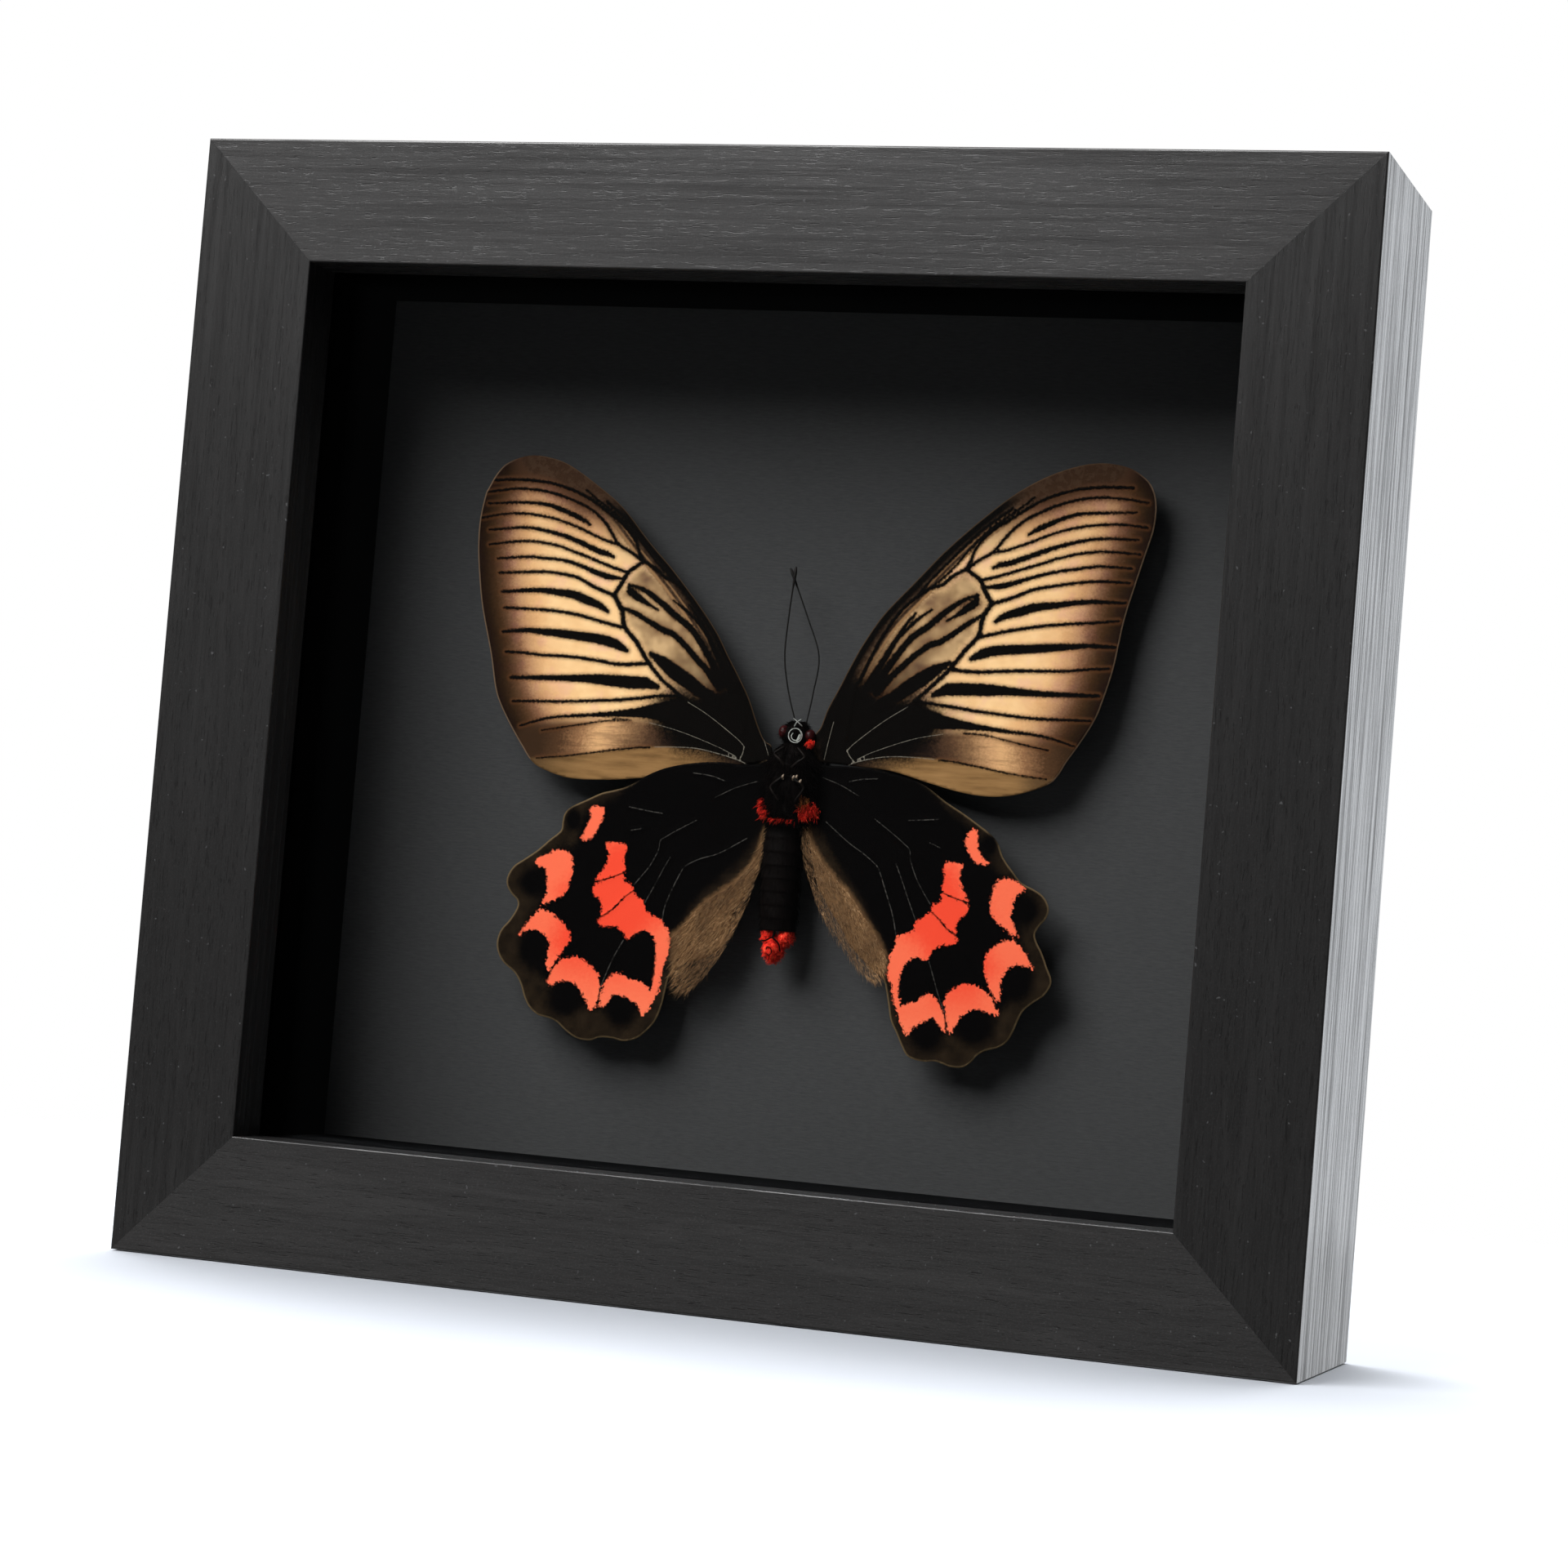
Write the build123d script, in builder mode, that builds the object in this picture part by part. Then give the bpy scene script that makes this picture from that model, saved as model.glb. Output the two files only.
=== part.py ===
"""Butterfly display case: a mitred black wooden shadow-box frame with a glass front, spacers, a mount
board that carries one spread swallowtail seen from below, and a back panel held by turn buttons.

Millimetres, +Z up. The case stands on its bottom rail with the glass facing -Y. Depths are counted
from the front face of the frame towards the back (+Y)."""

import os
from math import cos, radians, sin

from build123d import *

os.makedirs("parts", exist_ok=True)

# Frame rails
case_width = 203.2
case_height = 190.5
rail_depth = 44.45
face_width = 21.0
lip_depth = 10.0
rail_wall = 14.5

# Glass, spacers, board and back panel, stacked behind the lip
stack_clearance = 0.3
glass_thickness = 2.0
glass_arris = 0.3
spacer_thickness = 6.0
paper_thickness = 0.5
foam_thickness = 4.5
panel_thickness = 2.6
panel_corner_radius = 3.0
panel_recess = 0.35
spacer_depth = (
    rail_depth - lip_depth - glass_thickness - paper_thickness - foam_thickness - panel_thickness - panel_recess
)

# V-nails driven across the mitres from the back
nail_leg = 5.0
nail_sheet = 0.6
nail_depth = 9.0

# Turn buttons and their screws
button_length = 24.0
button_width = 9.0
button_thickness = 1.0
button_gap = 0.1
button_drop = 45.0
screw_radius = 1.5
screw_length = 12.0
screw_head_radius = 3.1
screw_head_height = 1.5
screw_slot_width = 0.8
screw_slot_depth = 0.7
running_clearance = 0.06

# Sawtooth hanger and its nails
hanger_length = 46.0
hanger_height = 8.0
hanger_sheet = 0.8
hanger_tab = 8.0
hanger_rise = 1.4
tooth_pitch = 3.0
tooth_height = 1.6
hanger_nail_radius = 0.8
hanger_nail_head_radius = 1.9
hanger_nail_head_height = 0.6
hanger_nail_length = 10.0

# Rubber wall bumpers at the lower back corners
bumper_radius = 5.0
bumper_height = 3.0
bumper_inset = 16.0

# Specimen, placed from the middle of the case opening to the middle of the thorax
specimen_x = 3.6
specimen_rise = -7.25
wing_height = 6.5
wing_thickness = 0.4
wing_spacing = 0.3
seat_gap = 0.1
thorax_radius = 4.6
thorax_top = 6.4
thorax_bottom = -7.2
neck_radius = 1.9
waist_radius = 2.2
head_radius = 2.3
head_length = 3.8
eye_radius = 1.0
abdomen_radius = 3.1
abdomen_bottom = -25.0
tip_joint_radius = 2.2
tip_radius = 2.7
tip_bottom = -30.4
antenna_radius = 0.2
antenna_club_radius = 0.4
antenna_club_length = 2.2
antenna_spread = 0.8
proboscis_coil_radius = 1.05
proboscis_radius = 0.22
leg_radius = 0.3
pad_width = 7.0
pad_height = 10.0

# Places worked out from the sizes
half_width = case_width / 2
screw_head_top = 2 * button_gap + button_thickness + screw_head_height
rear_projection = max(bumper_height, screw_head_top, hanger_rise + hanger_sheet)
front_y = -(rail_depth + rear_projection) / 2
back_y = front_y + rail_depth
pocket_width = case_width - 2 * (rail_wall + stack_clearance)
pocket_height = case_height - 2 * (rail_wall + stack_clearance)
glass_front = lip_depth
spacer_front = glass_front + glass_thickness
paper_front = spacer_front + spacer_depth
foam_front = paper_front + paper_thickness
panel_front = foam_front + foam_thickness
middle_z = case_height / 2
specimen_z = middle_z + specimen_rise
forewing_front = paper_front - wing_height
hindwing_front = forewing_front - wing_spacing - wing_thickness
body_depth = forewing_front + wing_thickness / 2
wing_root = thorax_radius + seat_gap
into_case = (0, 1, 0)


def at_depth(depth, x=0.0, z=0.0):
    """Sketch plane facing the viewer: x to the right and y up, at a depth behind the front face."""
    return Plane(origin=(x, front_y + depth, z), x_dir=(1, 0, 0), z_dir=(0, -1, 0))


# ---------------------------------------------------------------- frame rails
# Each rail is a mitred lip in front and a mitred wall behind it, which leaves the rabbet open.


def mitred(length, width):
    """Outline of one rail's layer: the long side lies on the outside of the frame."""
    return [(-length / 2, 0), (length / 2, 0), (length / 2 - width, width), (-length / 2 + width, width)]


def v_nail(corner_x, corner_z, turn):
    """Chevron outline of a V-nail that straddles the mitre and opens towards the case's corner."""
    a, b = nail_leg, nail_sheet
    reach = rail_wall / 2 * 2**0.5 + (a + b) / 2
    return [
        (corner_x + (reach + u) * cos(turn) - v * sin(turn), corner_z + (reach + u) * sin(turn) + v * cos(turn))
        for u, v in [(0, 0), (-a, a / 2), (-a - b, a / 2), (-b, 0), (-a - b, -a / 2), (-a, -a / 2)]
    ]


v_nail_outlines = [
    v_nail(-half_width, 0, radians(45)),
    v_nail(half_width, 0, radians(135)),
    v_nail(half_width, case_height, radians(225)),
    v_nail(-half_width, case_height, radians(315)),
]

screw_x = half_width - rail_wall / 2
screw_places = [(sx * screw_x, middle_z + sz * button_drop) for sx in (-1, 1) for sz in (-1, 1)]
hanger_z = case_height - rail_wall / 2
hanger_nail_x = hanger_length / 2 - hanger_tab / 2
hanger_nail_places = [(-hanger_nail_x, hanger_z), (hanger_nail_x, hanger_z)]

rails = {
    "rail_bottom": (case_width, (0, 0), 0),
    "rail_right": (case_height, (half_width, middle_z), 90),
    "rail_top": (case_width, (0, case_height), 180),
    "rail_left": (case_height, (-half_width, middle_z), 270),
}
for rail_name, (rail_length, (rail_x, rail_z), rail_turn) in rails.items():
    with BuildPart() as rail:
        with BuildSketch(at_depth(0)):
            with Locations(Location((rail_x, rail_z, 0), (0, 0, rail_turn))):
                Polygon(*mitred(rail_length, face_width), align=None)
        extrude(amount=lip_depth, dir=into_case)
        with BuildSketch(at_depth(lip_depth)):
            with Locations(Location((rail_x, rail_z, 0), (0, 0, rail_turn))):
                Polygon(*mitred(rail_length, rail_wall), align=None)
        extrude(amount=rail_depth - lip_depth, dir=into_case)
        with BuildSketch(at_depth(rail_depth - nail_depth)):
            for outline in v_nail_outlines:
                Polygon(*outline, align=None)
        extrude(amount=nail_depth, dir=into_case, mode=Mode.SUBTRACT)
        if rail_name in ("rail_left", "rail_right"):
            with BuildSketch(at_depth(rail_depth - screw_length + screw_head_top)):
                with Locations(*screw_places):
                    Circle(screw_radius)
            extrude(amount=screw_length, dir=into_case, mode=Mode.SUBTRACT)
        if rail_name == "rail_top":
            with BuildSketch(at_depth(rail_depth - hanger_nail_length)):
                with Locations(*hanger_nail_places):
                    Circle(hanger_nail_radius)
            extrude(amount=hanger_nail_length, dir=into_case, mode=Mode.SUBTRACT)
    rail.part.label = rail_name
    export_step(rail.part, f"parts/{rail_name}.step")

with BuildPart() as corner_v_nails:
    with BuildSketch(at_depth(rail_depth - nail_depth)):
        for outline in v_nail_outlines:
            Polygon(*outline, align=None)
    extrude(amount=nail_depth, dir=into_case)
corner_v_nails.part.label = "corner_v_nails"
export_step(corner_v_nails.part, "parts/corner_v_nails.step")

# ---------------------------------------------------------------- glass and spacers
with BuildPart() as glass_pane:
    with BuildSketch(at_depth(glass_front, 0, middle_z)):
        Rectangle(pocket_width, pocket_height)
    extrude(amount=glass_thickness, dir=into_case)
    chamfer(glass_pane.edges().filter_by(Axis.Y, reverse=True), length=glass_arris)
glass_pane.part.label = "glass_pane"
export_step(glass_pane.part, "parts/glass_pane.step")

side_spacer_height = pocket_height - 2 * spacer_thickness
spacer_x = pocket_width / 2 - spacer_thickness / 2
spacer_z = pocket_height / 2 - spacer_thickness / 2
spacers = {
    "spacer_top": (pocket_width, spacer_thickness, 0, middle_z + spacer_z),
    "spacer_bottom": (pocket_width, spacer_thickness, 0, middle_z - spacer_z),
    "spacer_left": (spacer_thickness, side_spacer_height, -spacer_x, middle_z),
    "spacer_right": (spacer_thickness, side_spacer_height, spacer_x, middle_z),
}
for spacer_name, (size_x, size_z, place_x, place_z) in spacers.items():
    with BuildPart() as spacer:
        with BuildSketch(at_depth(spacer_front, place_x, place_z)):
            Rectangle(size_x, size_z)
        extrude(amount=spacer_depth, dir=into_case)
    spacer.part.label = spacer_name
    export_step(spacer.part, f"parts/{spacer_name}.step")

# ---------------------------------------------------------------- mount board and back panel
with BuildPart() as board_paper:
    with BuildSketch(at_depth(paper_front, 0, middle_z)):
        Rectangle(pocket_width, pocket_height)
    extrude(amount=paper_thickness, dir=into_case)
board_paper.part.label = "board_paper"
export_step(board_paper.part, "parts/board_paper.step")

with BuildPart() as foam_board:
    with BuildSketch(at_depth(foam_front, 0, middle_z)):
        Rectangle(pocket_width, pocket_height)
    extrude(amount=foam_thickness, dir=into_case)
foam_board.part.label = "foam_board"
export_step(foam_board.part, "parts/foam_board.step")

with BuildPart() as back_panel:
    with BuildSketch(at_depth(panel_front, 0, middle_z)):
        RectangleRounded(pocket_width, pocket_height, panel_corner_radius)
    extrude(amount=panel_thickness, dir=into_case)
back_panel.part.label = "back_panel"
export_step(back_panel.part, "parts/back_panel.step")

# ---------------------------------------------------------------- turn buttons and screws
# A button points at the back panel at rest and swings clear of it round its screw.
button_reach = button_length - button_width
button_names = ["turn_button_lower_left", "turn_button_upper_left", "turn_button_lower_right", "turn_button_upper_right"]
for button_name, (place_x, place_z) in zip(button_names, screw_places):
    inward = -1 if place_x > 0 else 1
    with BuildPart() as turn_button:
        with BuildSketch(at_depth(rail_depth + button_gap, place_x + inward * button_reach / 2, place_z)):
            SlotCenterToCenter(button_reach, button_width)
        extrude(amount=button_thickness, dir=into_case)
        with BuildSketch(at_depth(rail_depth + button_gap, place_x, place_z)):
            Circle(screw_radius + running_clearance)
        extrude(amount=button_thickness, dir=into_case, mode=Mode.SUBTRACT)
    turn_button.part.label = button_name
    export_step(turn_button.part, f"parts/{button_name}.step")

with BuildPart() as turn_button_screws:
    with BuildSketch(at_depth(rail_depth - screw_length + screw_head_top)):
        with Locations(*screw_places):
            Circle(screw_radius)
    extrude(amount=screw_length - screw_head_height, dir=into_case)
    with BuildSketch(at_depth(rail_depth + screw_head_top - screw_head_height)):
        with Locations(*screw_places):
            Circle(screw_head_radius)
    extrude(amount=screw_head_height, dir=into_case)
    chamfer(turn_button_screws.faces().sort_by(Axis.Y)[-4:].edges(), length=screw_head_height / 3)
    with BuildSketch(at_depth(rail_depth + screw_head_top - screw_slot_depth)):
        with Locations(*screw_places):
            Rectangle(2 * screw_head_radius, screw_slot_width)
            Rectangle(screw_slot_width, 2 * screw_head_radius)
    extrude(amount=screw_slot_depth, dir=into_case, mode=Mode.SUBTRACT)
turn_button_screws.part.label = "turn_button_screws"
export_step(turn_button_screws.part, "parts/turn_button_screws.step")

# ---------------------------------------------------------------- sawtooth hanger and nails
# Flat tabs are nailed to the top rail, and the toothed bridge between them stands clear of the wood.
bridge_half = hanger_length / 2 - hanger_tab - hanger_rise
tab_start = hanger_length / 2 - hanger_tab
teeth = int(2 * bridge_half / tooth_pitch)
with BuildPart() as sawtooth_hanger:
    with BuildSketch(Plane.XY.offset(hanger_z - hanger_height / 2)):
        with BuildLine():
            Polyline(
                (-hanger_length / 2, back_y),
                (-tab_start, back_y),
                (-bridge_half, back_y + hanger_rise),
                (bridge_half, back_y + hanger_rise),
                (tab_start, back_y),
                (hanger_length / 2, back_y),
                (hanger_length / 2, back_y + hanger_sheet),
                (tab_start, back_y + hanger_sheet),
                (bridge_half, back_y + hanger_rise + hanger_sheet),
                (-bridge_half, back_y + hanger_rise + hanger_sheet),
                (-tab_start, back_y + hanger_sheet),
                (-hanger_length / 2, back_y + hanger_sheet),
                close=True,
            )
        make_face()
    extrude(amount=hanger_height)
    with BuildSketch(at_depth(rail_depth, 0, hanger_z - hanger_height / 2)):
        for tooth in range(teeth):
            tooth_x = (tooth - (teeth - 1) / 2) * tooth_pitch
            Polygon(
                (tooth_x - tooth_pitch / 2, 0), (tooth_x + tooth_pitch / 2, 0), (tooth_x, tooth_height), align=None
            )
    extrude(amount=hanger_rise + hanger_sheet, dir=into_case, mode=Mode.SUBTRACT)
    with BuildSketch(at_depth(rail_depth)):
        with Locations(*hanger_nail_places):
            Circle(hanger_nail_radius)
    extrude(amount=hanger_sheet, dir=into_case, mode=Mode.SUBTRACT)
sawtooth_hanger.part.label = "sawtooth_hanger"
export_step(sawtooth_hanger.part, "parts/sawtooth_hanger.step")

with BuildPart() as hanger_nails:
    with BuildSketch(at_depth(rail_depth - hanger_nail_length)):
        with Locations(*hanger_nail_places):
            Circle(hanger_nail_radius)
    extrude(amount=hanger_nail_length + hanger_sheet, dir=into_case)
    with BuildSketch(at_depth(rail_depth + hanger_sheet)):
        with Locations(*hanger_nail_places):
            Circle(hanger_nail_head_radius)
    extrude(amount=hanger_nail_head_height, dir=into_case)
hanger_nails.part.label = "hanger_nails"
export_step(hanger_nails.part, "parts/hanger_nails.step")

# ---------------------------------------------------------------- wall bumpers
for bumper_name, side in (("wall_bumper_left", -1), ("wall_bumper_right", 1)):
    with BuildPart() as wall_bumper:
        with BuildSketch(at_depth(rail_depth, side * (half_width - bumper_inset), rail_wall / 2)):
            Circle(bumper_radius)
        extrude(amount=bumper_height, dir=into_case)
        fillet(wall_bumper.faces().sort_by(Axis.Y)[-1].edges(), radius=bumper_height / 2)
    wall_bumper.part.label = bumper_name
    export_step(wall_bumper.part, f"parts/{bumper_name}.step")

# ---------------------------------------------------------------- specimen body
# The body is turned round its long axis in sections that meet on flat faces.
body_axis = Plane(origin=(specimen_x, front_y + body_depth, specimen_z), x_dir=(1, 0, 0), z_dir=(0, -1, 0))
head_top = thorax_top + head_length


spine = Axis((specimen_x, front_y + body_depth, specimen_z), (0, 0, 1))


def half_section(*outline):
    """Half section of a turned piece: a curve through (radius, height) points, closed along the spine."""
    with BuildSketch(body_axis) as section:
        with BuildLine():
            Line((0, outline[0][1]), outline[0])
            Spline(*outline)
            Line(outline[-1], (0, outline[-1][1]))
            Line((0, outline[-1][1]), (0, outline[0][1]))
        make_face()
    return section.sketch


with BuildPart() as thorax:
    thorax_half = half_section(
        (neck_radius, thorax_top),
        (thorax_radius * 0.86, thorax_top * 0.5),
        (thorax_radius, thorax_bottom * 0.1),
        (thorax_radius * 0.8, thorax_bottom * 0.72),
        (waist_radius, thorax_bottom),
    )
    revolve(thorax_half, axis=spine)
thorax.part.label = "thorax"
export_step(thorax.part, "parts/thorax.step")

eye_z = thorax_top + head_length * 0.5
eye_centres = [
    (specimen_x - head_radius, front_y + body_depth, specimen_z + eye_z),
    (specimen_x + head_radius, front_y + body_depth, specimen_z + eye_z),
]
with BuildPart() as head:
    head_half = half_section(
        (neck_radius, thorax_top), (head_radius, eye_z), (antenna_spread + antenna_radius * 2, head_top)
    )
    revolve(head_half, axis=spine)
    with Locations(*eye_centres):
        Sphere(eye_radius, mode=Mode.SUBTRACT)
head.part.label = "head"
export_step(head.part, "parts/head.step")

with BuildPart() as eyes:
    with Locations(*eye_centres):
        Sphere(eye_radius)
eyes.part.label = "eyes"
export_step(eyes.part, "parts/eyes.step")

with BuildPart() as abdomen:
    abdomen_half = half_section(
        (waist_radius, thorax_bottom),
        (abdomen_radius, thorax_bottom * 0.6 + abdomen_bottom * 0.4),
        (abdomen_radius * 0.95, thorax_bottom * 0.25 + abdomen_bottom * 0.75),
        (tip_joint_radius, abdomen_bottom),
    )
    revolve(abdomen_half, axis=spine)
abdomen.part.label = "abdomen"
export_step(abdomen.part, "parts/abdomen.step")

with BuildPart() as abdomen_tip:
    tip_half = half_section(
        (tip_joint_radius, abdomen_bottom),
        (tip_radius, abdomen_bottom * 0.72 + tip_bottom * 0.28),
        (tip_radius * 0.85, abdomen_bottom * 0.35 + tip_bottom * 0.65),
        (tip_radius * 0.3, tip_bottom),
    )
    revolve(tip_half, axis=spine)
abdomen_tip.part.label = "abdomen_tip"
export_step(abdomen_tip.part, "parts/abdomen_tip.step")

# ---------------------------------------------------------------- antennae, proboscis and legs
# The antennae bow outwards and cross near their clubs, one in front of the other.
antenna_step = antenna_radius + antenna_club_radius + seat_gap
antennae = {
    "antenna_left": (-antenna_spread, [(-3.7, 21.5), (-3.4, 34.6)], -antenna_step / 2),
    "antenna_right": (antenna_spread, [(2.1, 21.8), (-4.0, 34.6)], antenna_step / 2),
}
for antenna_name, (start_x, (bow, tip), shift) in antennae.items():
    antenna_plane = Plane(
        origin=(specimen_x, front_y + body_depth + shift, specimen_z), x_dir=(1, 0, 0), z_dir=(0, -1, 0)
    )
    with BuildPart() as antenna:
        with BuildLine(antenna_plane) as antenna_path:
            ThreePointArc((start_x, head_top), bow, tip)
        with BuildSketch(Plane(antenna_path.line @ 0, z_dir=antenna_path.line % 0)):
            Circle(antenna_radius)
        sweep(path=antenna_path.line)
        with BuildSketch(Plane(antenna_path.line @ 1, z_dir=antenna_path.line % 1)):
            Circle(antenna_club_radius)
        extrude(amount=antenna_club_length)
    antenna.part.label = antenna_name
    export_step(antenna.part, f"parts/{antenna_name}.step")

coil_depth = body_depth - head_radius - seat_gap - proboscis_radius
with BuildPart() as proboscis:
    with Locations(at_depth(coil_depth, specimen_x, specimen_z + eye_z)):
        Torus(proboscis_coil_radius, proboscis_radius)
proboscis.part.label = "proboscis"
export_step(proboscis.part, "parts/proboscis.step")

leg_depth = body_depth - thorax_radius - seat_gap - leg_radius
leg_paths = [
    [(-0.4, 2.4), (-2.4, 4.4), (-1.0, 5.6)],
    [(0.5, 2.4), (2.6, 4.2), (1.3, 5.6)],
    [(-0.4, 0.9), (-3.0, -1.2), (-1.4, -3.2)],
    [(0.5, 0.9), (3.0, -1.0), (1.5, -3.2)],
]
with BuildPart() as legs:
    for leg_path in leg_paths:
        with BuildLine(at_depth(leg_depth, specimen_x, specimen_z)) as leg_line:
            FilletPolyline(*leg_path, radius=3 * leg_radius)
        with BuildSketch(Plane(leg_line.line @ 0, z_dir=leg_line.line % 0)):
            Circle(leg_radius)
        sweep(path=leg_line.line)
legs.part.label = "legs"
export_step(legs.part, "parts/legs.step")

# ---------------------------------------------------------------- wings
# Outlines are in the specimen's own frame: x to the right and y up from the middle of the thorax.
forewings = {
    "forewing_left": (-wing_root, 5.6, 3.4, [
        (-13.8, 17.2), (-28.9, 36.1), (-45.4, 51.8), (-54.8, 53.9), (-61.3, 44.0), (-59.5, 24.7),
        (-54.9, 7.8), (-48.3, -0.4), (-36.0, -2.2), (-20.0, 0.4),
    ]),
    "forewing_right": (wing_root, 8.2, 4.0, [
        (9.1, 22.6), (23.1, 44.0), (39.2, 55.0), (54.5, 56.1), (58.5, 46.9), (54.5, 20.9),
        (48.7, 7.0), (42.0, 0.8), (32.0, 0.0), (17.0, 1.8),
    ]),
}
for wing_name, (root_x, root_top, root_bottom, margin) in forewings.items():
    with BuildPart() as wing:
        with BuildSketch(at_depth(forewing_front, specimen_x, specimen_z)):
            with BuildLine():
                Spline((root_x, root_top), *margin, (root_x, root_bottom))
                Line((root_x, root_bottom), (root_x, root_top))
            make_face()
        extrude(amount=wing_thickness, dir=into_case)
    wing.part.label = wing_name
    export_step(wing.part, f"parts/{wing_name}.step")

# The hindwings' lower margins are scalloped: each pair of points is a tip and the notch after it.
hindwings = {
    "hindwing_left": (-wing_root, 3.2, -5.4,
        [(-16.2, 2.6), (-27.6, -0.7), (-38.7, -6.2), (-41.0, -9.8)],
        [(-41.0, -9.8), (-50.6, -20.1), (-48.5, -24.4), (-51.5, -31.3), (-47.0, -36.6), (-44.2, -42.0),
         (-40.1, -43.0), (-33.2, -46.4), (-30.0, -45.8), (-23.6, -45.0), (-19.8, -36.0), (-18.9, -32.4)],
        [(-18.9, -32.4), (-11.0, -28.9), (-7.0, -17.7)]),
    "hindwing_right": (wing_root, 3.3, -5.4,
        [(14.3, 3.1), (24.6, 0.1), (33.4, -4.9), (38.3, -10.8)],
        [(38.3, -10.8), (45.6, -19.0), (43.9, -22.4), (47.1, -31.0), (42.6, -35.4), (40.4, -40.6),
         (35.6, -43.6), (30.7, -45.4), (28.4, -44.9), (22.4, -42.9), (19.2, -34.0), (18.2, -31.2)],
        [(18.2, -31.2), (11.0, -24.2), (5.4, -17.0)]),
}
for wing_name, (root_x, root_top, root_bottom, costa, scallops, fold) in hindwings.items():
    with BuildPart() as wing:
        with BuildSketch(at_depth(hindwing_front, specimen_x, specimen_z)):
            with BuildLine():
                Spline((root_x, root_top), *costa)
                for start, middle, end in zip(scallops[0::2], scallops[1::2], scallops[2::2]):
                    ThreePointArc(start, middle, end)
                Line(scallops[-2], scallops[-1])
                Spline(*fold, (root_x, root_bottom))
                Line((root_x, root_bottom), (root_x, root_top))
            make_face()
        extrude(amount=wing_thickness, dir=into_case)
    wing.part.label = wing_name
    export_step(wing.part, f"parts/{wing_name}.step")

# ---------------------------------------------------------------- pad under the specimen
pad_front = body_depth + thorax_radius + seat_gap
with BuildPart() as specimen_pad:
    with BuildSketch(at_depth(pad_front, specimen_x, specimen_z)):
        Rectangle(pad_width, pad_height)
    extrude(amount=paper_front - pad_front, dir=into_case)
specimen_pad.part.label = "specimen_pad"
export_step(specimen_pad.part, "parts/specimen_pad.step")
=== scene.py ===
"""Looks of the butterfly display case: black wooden shadow-box frame, glass, mount board, and a spread
swallowtail seen from below. Metres, in the CAD frame: X right, the glass faces -Y, Z up.
The specimen's own lists are in millimetres from the middle of its thorax: (right, up)."""

import math

import bpy
import numpy as np
from mathutils import Matrix, Vector
from mathutils.geometry import delaunay_2d_cdt


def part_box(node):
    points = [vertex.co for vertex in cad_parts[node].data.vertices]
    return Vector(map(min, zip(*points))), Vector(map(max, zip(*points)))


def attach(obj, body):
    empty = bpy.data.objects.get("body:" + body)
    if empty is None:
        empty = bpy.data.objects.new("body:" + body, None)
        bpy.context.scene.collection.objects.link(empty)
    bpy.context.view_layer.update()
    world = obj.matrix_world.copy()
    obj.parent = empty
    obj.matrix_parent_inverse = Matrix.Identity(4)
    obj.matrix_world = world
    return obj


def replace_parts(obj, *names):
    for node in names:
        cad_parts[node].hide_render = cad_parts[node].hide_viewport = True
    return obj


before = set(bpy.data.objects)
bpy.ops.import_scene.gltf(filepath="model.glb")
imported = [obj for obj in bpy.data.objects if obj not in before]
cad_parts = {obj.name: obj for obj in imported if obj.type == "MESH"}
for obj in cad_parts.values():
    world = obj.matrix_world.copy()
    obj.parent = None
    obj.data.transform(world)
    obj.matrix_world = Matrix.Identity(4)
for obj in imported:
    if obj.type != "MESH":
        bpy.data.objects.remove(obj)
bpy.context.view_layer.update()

MM = 0.001

# ---------------------------------------------------------------- places taken from the frame
rail_low, rail_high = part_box("rail_top")
front_y = rail_low.y
rail_back = rail_high.y
half_width = rail_high.x
case_height = rail_high.z
lip_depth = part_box("glass_pane")[0].y - front_y
# The rails' widths at the lip and at the rabbet, and the thorax's ends, repeat the CAD part's sizes.
lip_width = 21 * MM
rail_wall = 14.5 * MM
thorax_top, thorax_end = 6.4, -7.2  # millimetres above the middle of the thorax
thorax_low, thorax_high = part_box("thorax")
body_y = (thorax_low.y + thorax_high.y) / 2
specimen_x = (thorax_low.x + thorax_high.x) / 2
specimen_z = thorax_high.z - thorax_top * MM
forewing_y = sum(c.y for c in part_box("forewing_left")) / 2
hindwing_y = sum(c.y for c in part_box("hindwing_left")) / 2


def place(points, y):
    """Specimen millimetres to metres in the frame, at depth y."""
    points = np.asarray(points, float)
    out = np.empty((len(points), 3))
    out[:, 0] = specimen_x + points[:, 0] * MM
    out[:, 1] = y
    out[:, 2] = specimen_z + points[:, 1] * MM
    return out


# Outlines of the forewings, from the root along the front edge, round the tip and back.
FORE_OUT_R = [
    (1.7, 6.6), (2.9, 8.6), (3.7, 9.8), (4.7, 12.9), (6.4, 16.5), (8.1, 20.3), (10.1, 24.3), (13.3, 29.4),
    (18, 34.8), (23.1, 40.6), (28.6, 45.9), (34.1, 50.5), (39.4, 53.7), (44.6, 55.7), (48.9, 56.4),
    (53.1, 55.9), (55.9, 54.5), (57.6, 52.7), (58.5, 49.9), (58.4, 45.8), (57.3, 41.4), (56.1, 36.7),
    (54.6, 30.4), (53.4, 22.3), (52, 16.7), (50.9, 13.5), (48.7, 9.5), (46.7, 6.3), (45.5, 4.1),
    (43.9, 2.5), (39.4, 0.7), (34.8, -0.1), (29.6, 0.2), (23.8, 1.4), (16.5, 3.1), (9.9, 3.5), (4.6, 3.8),
    (1.9, 4.1),
]
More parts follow.
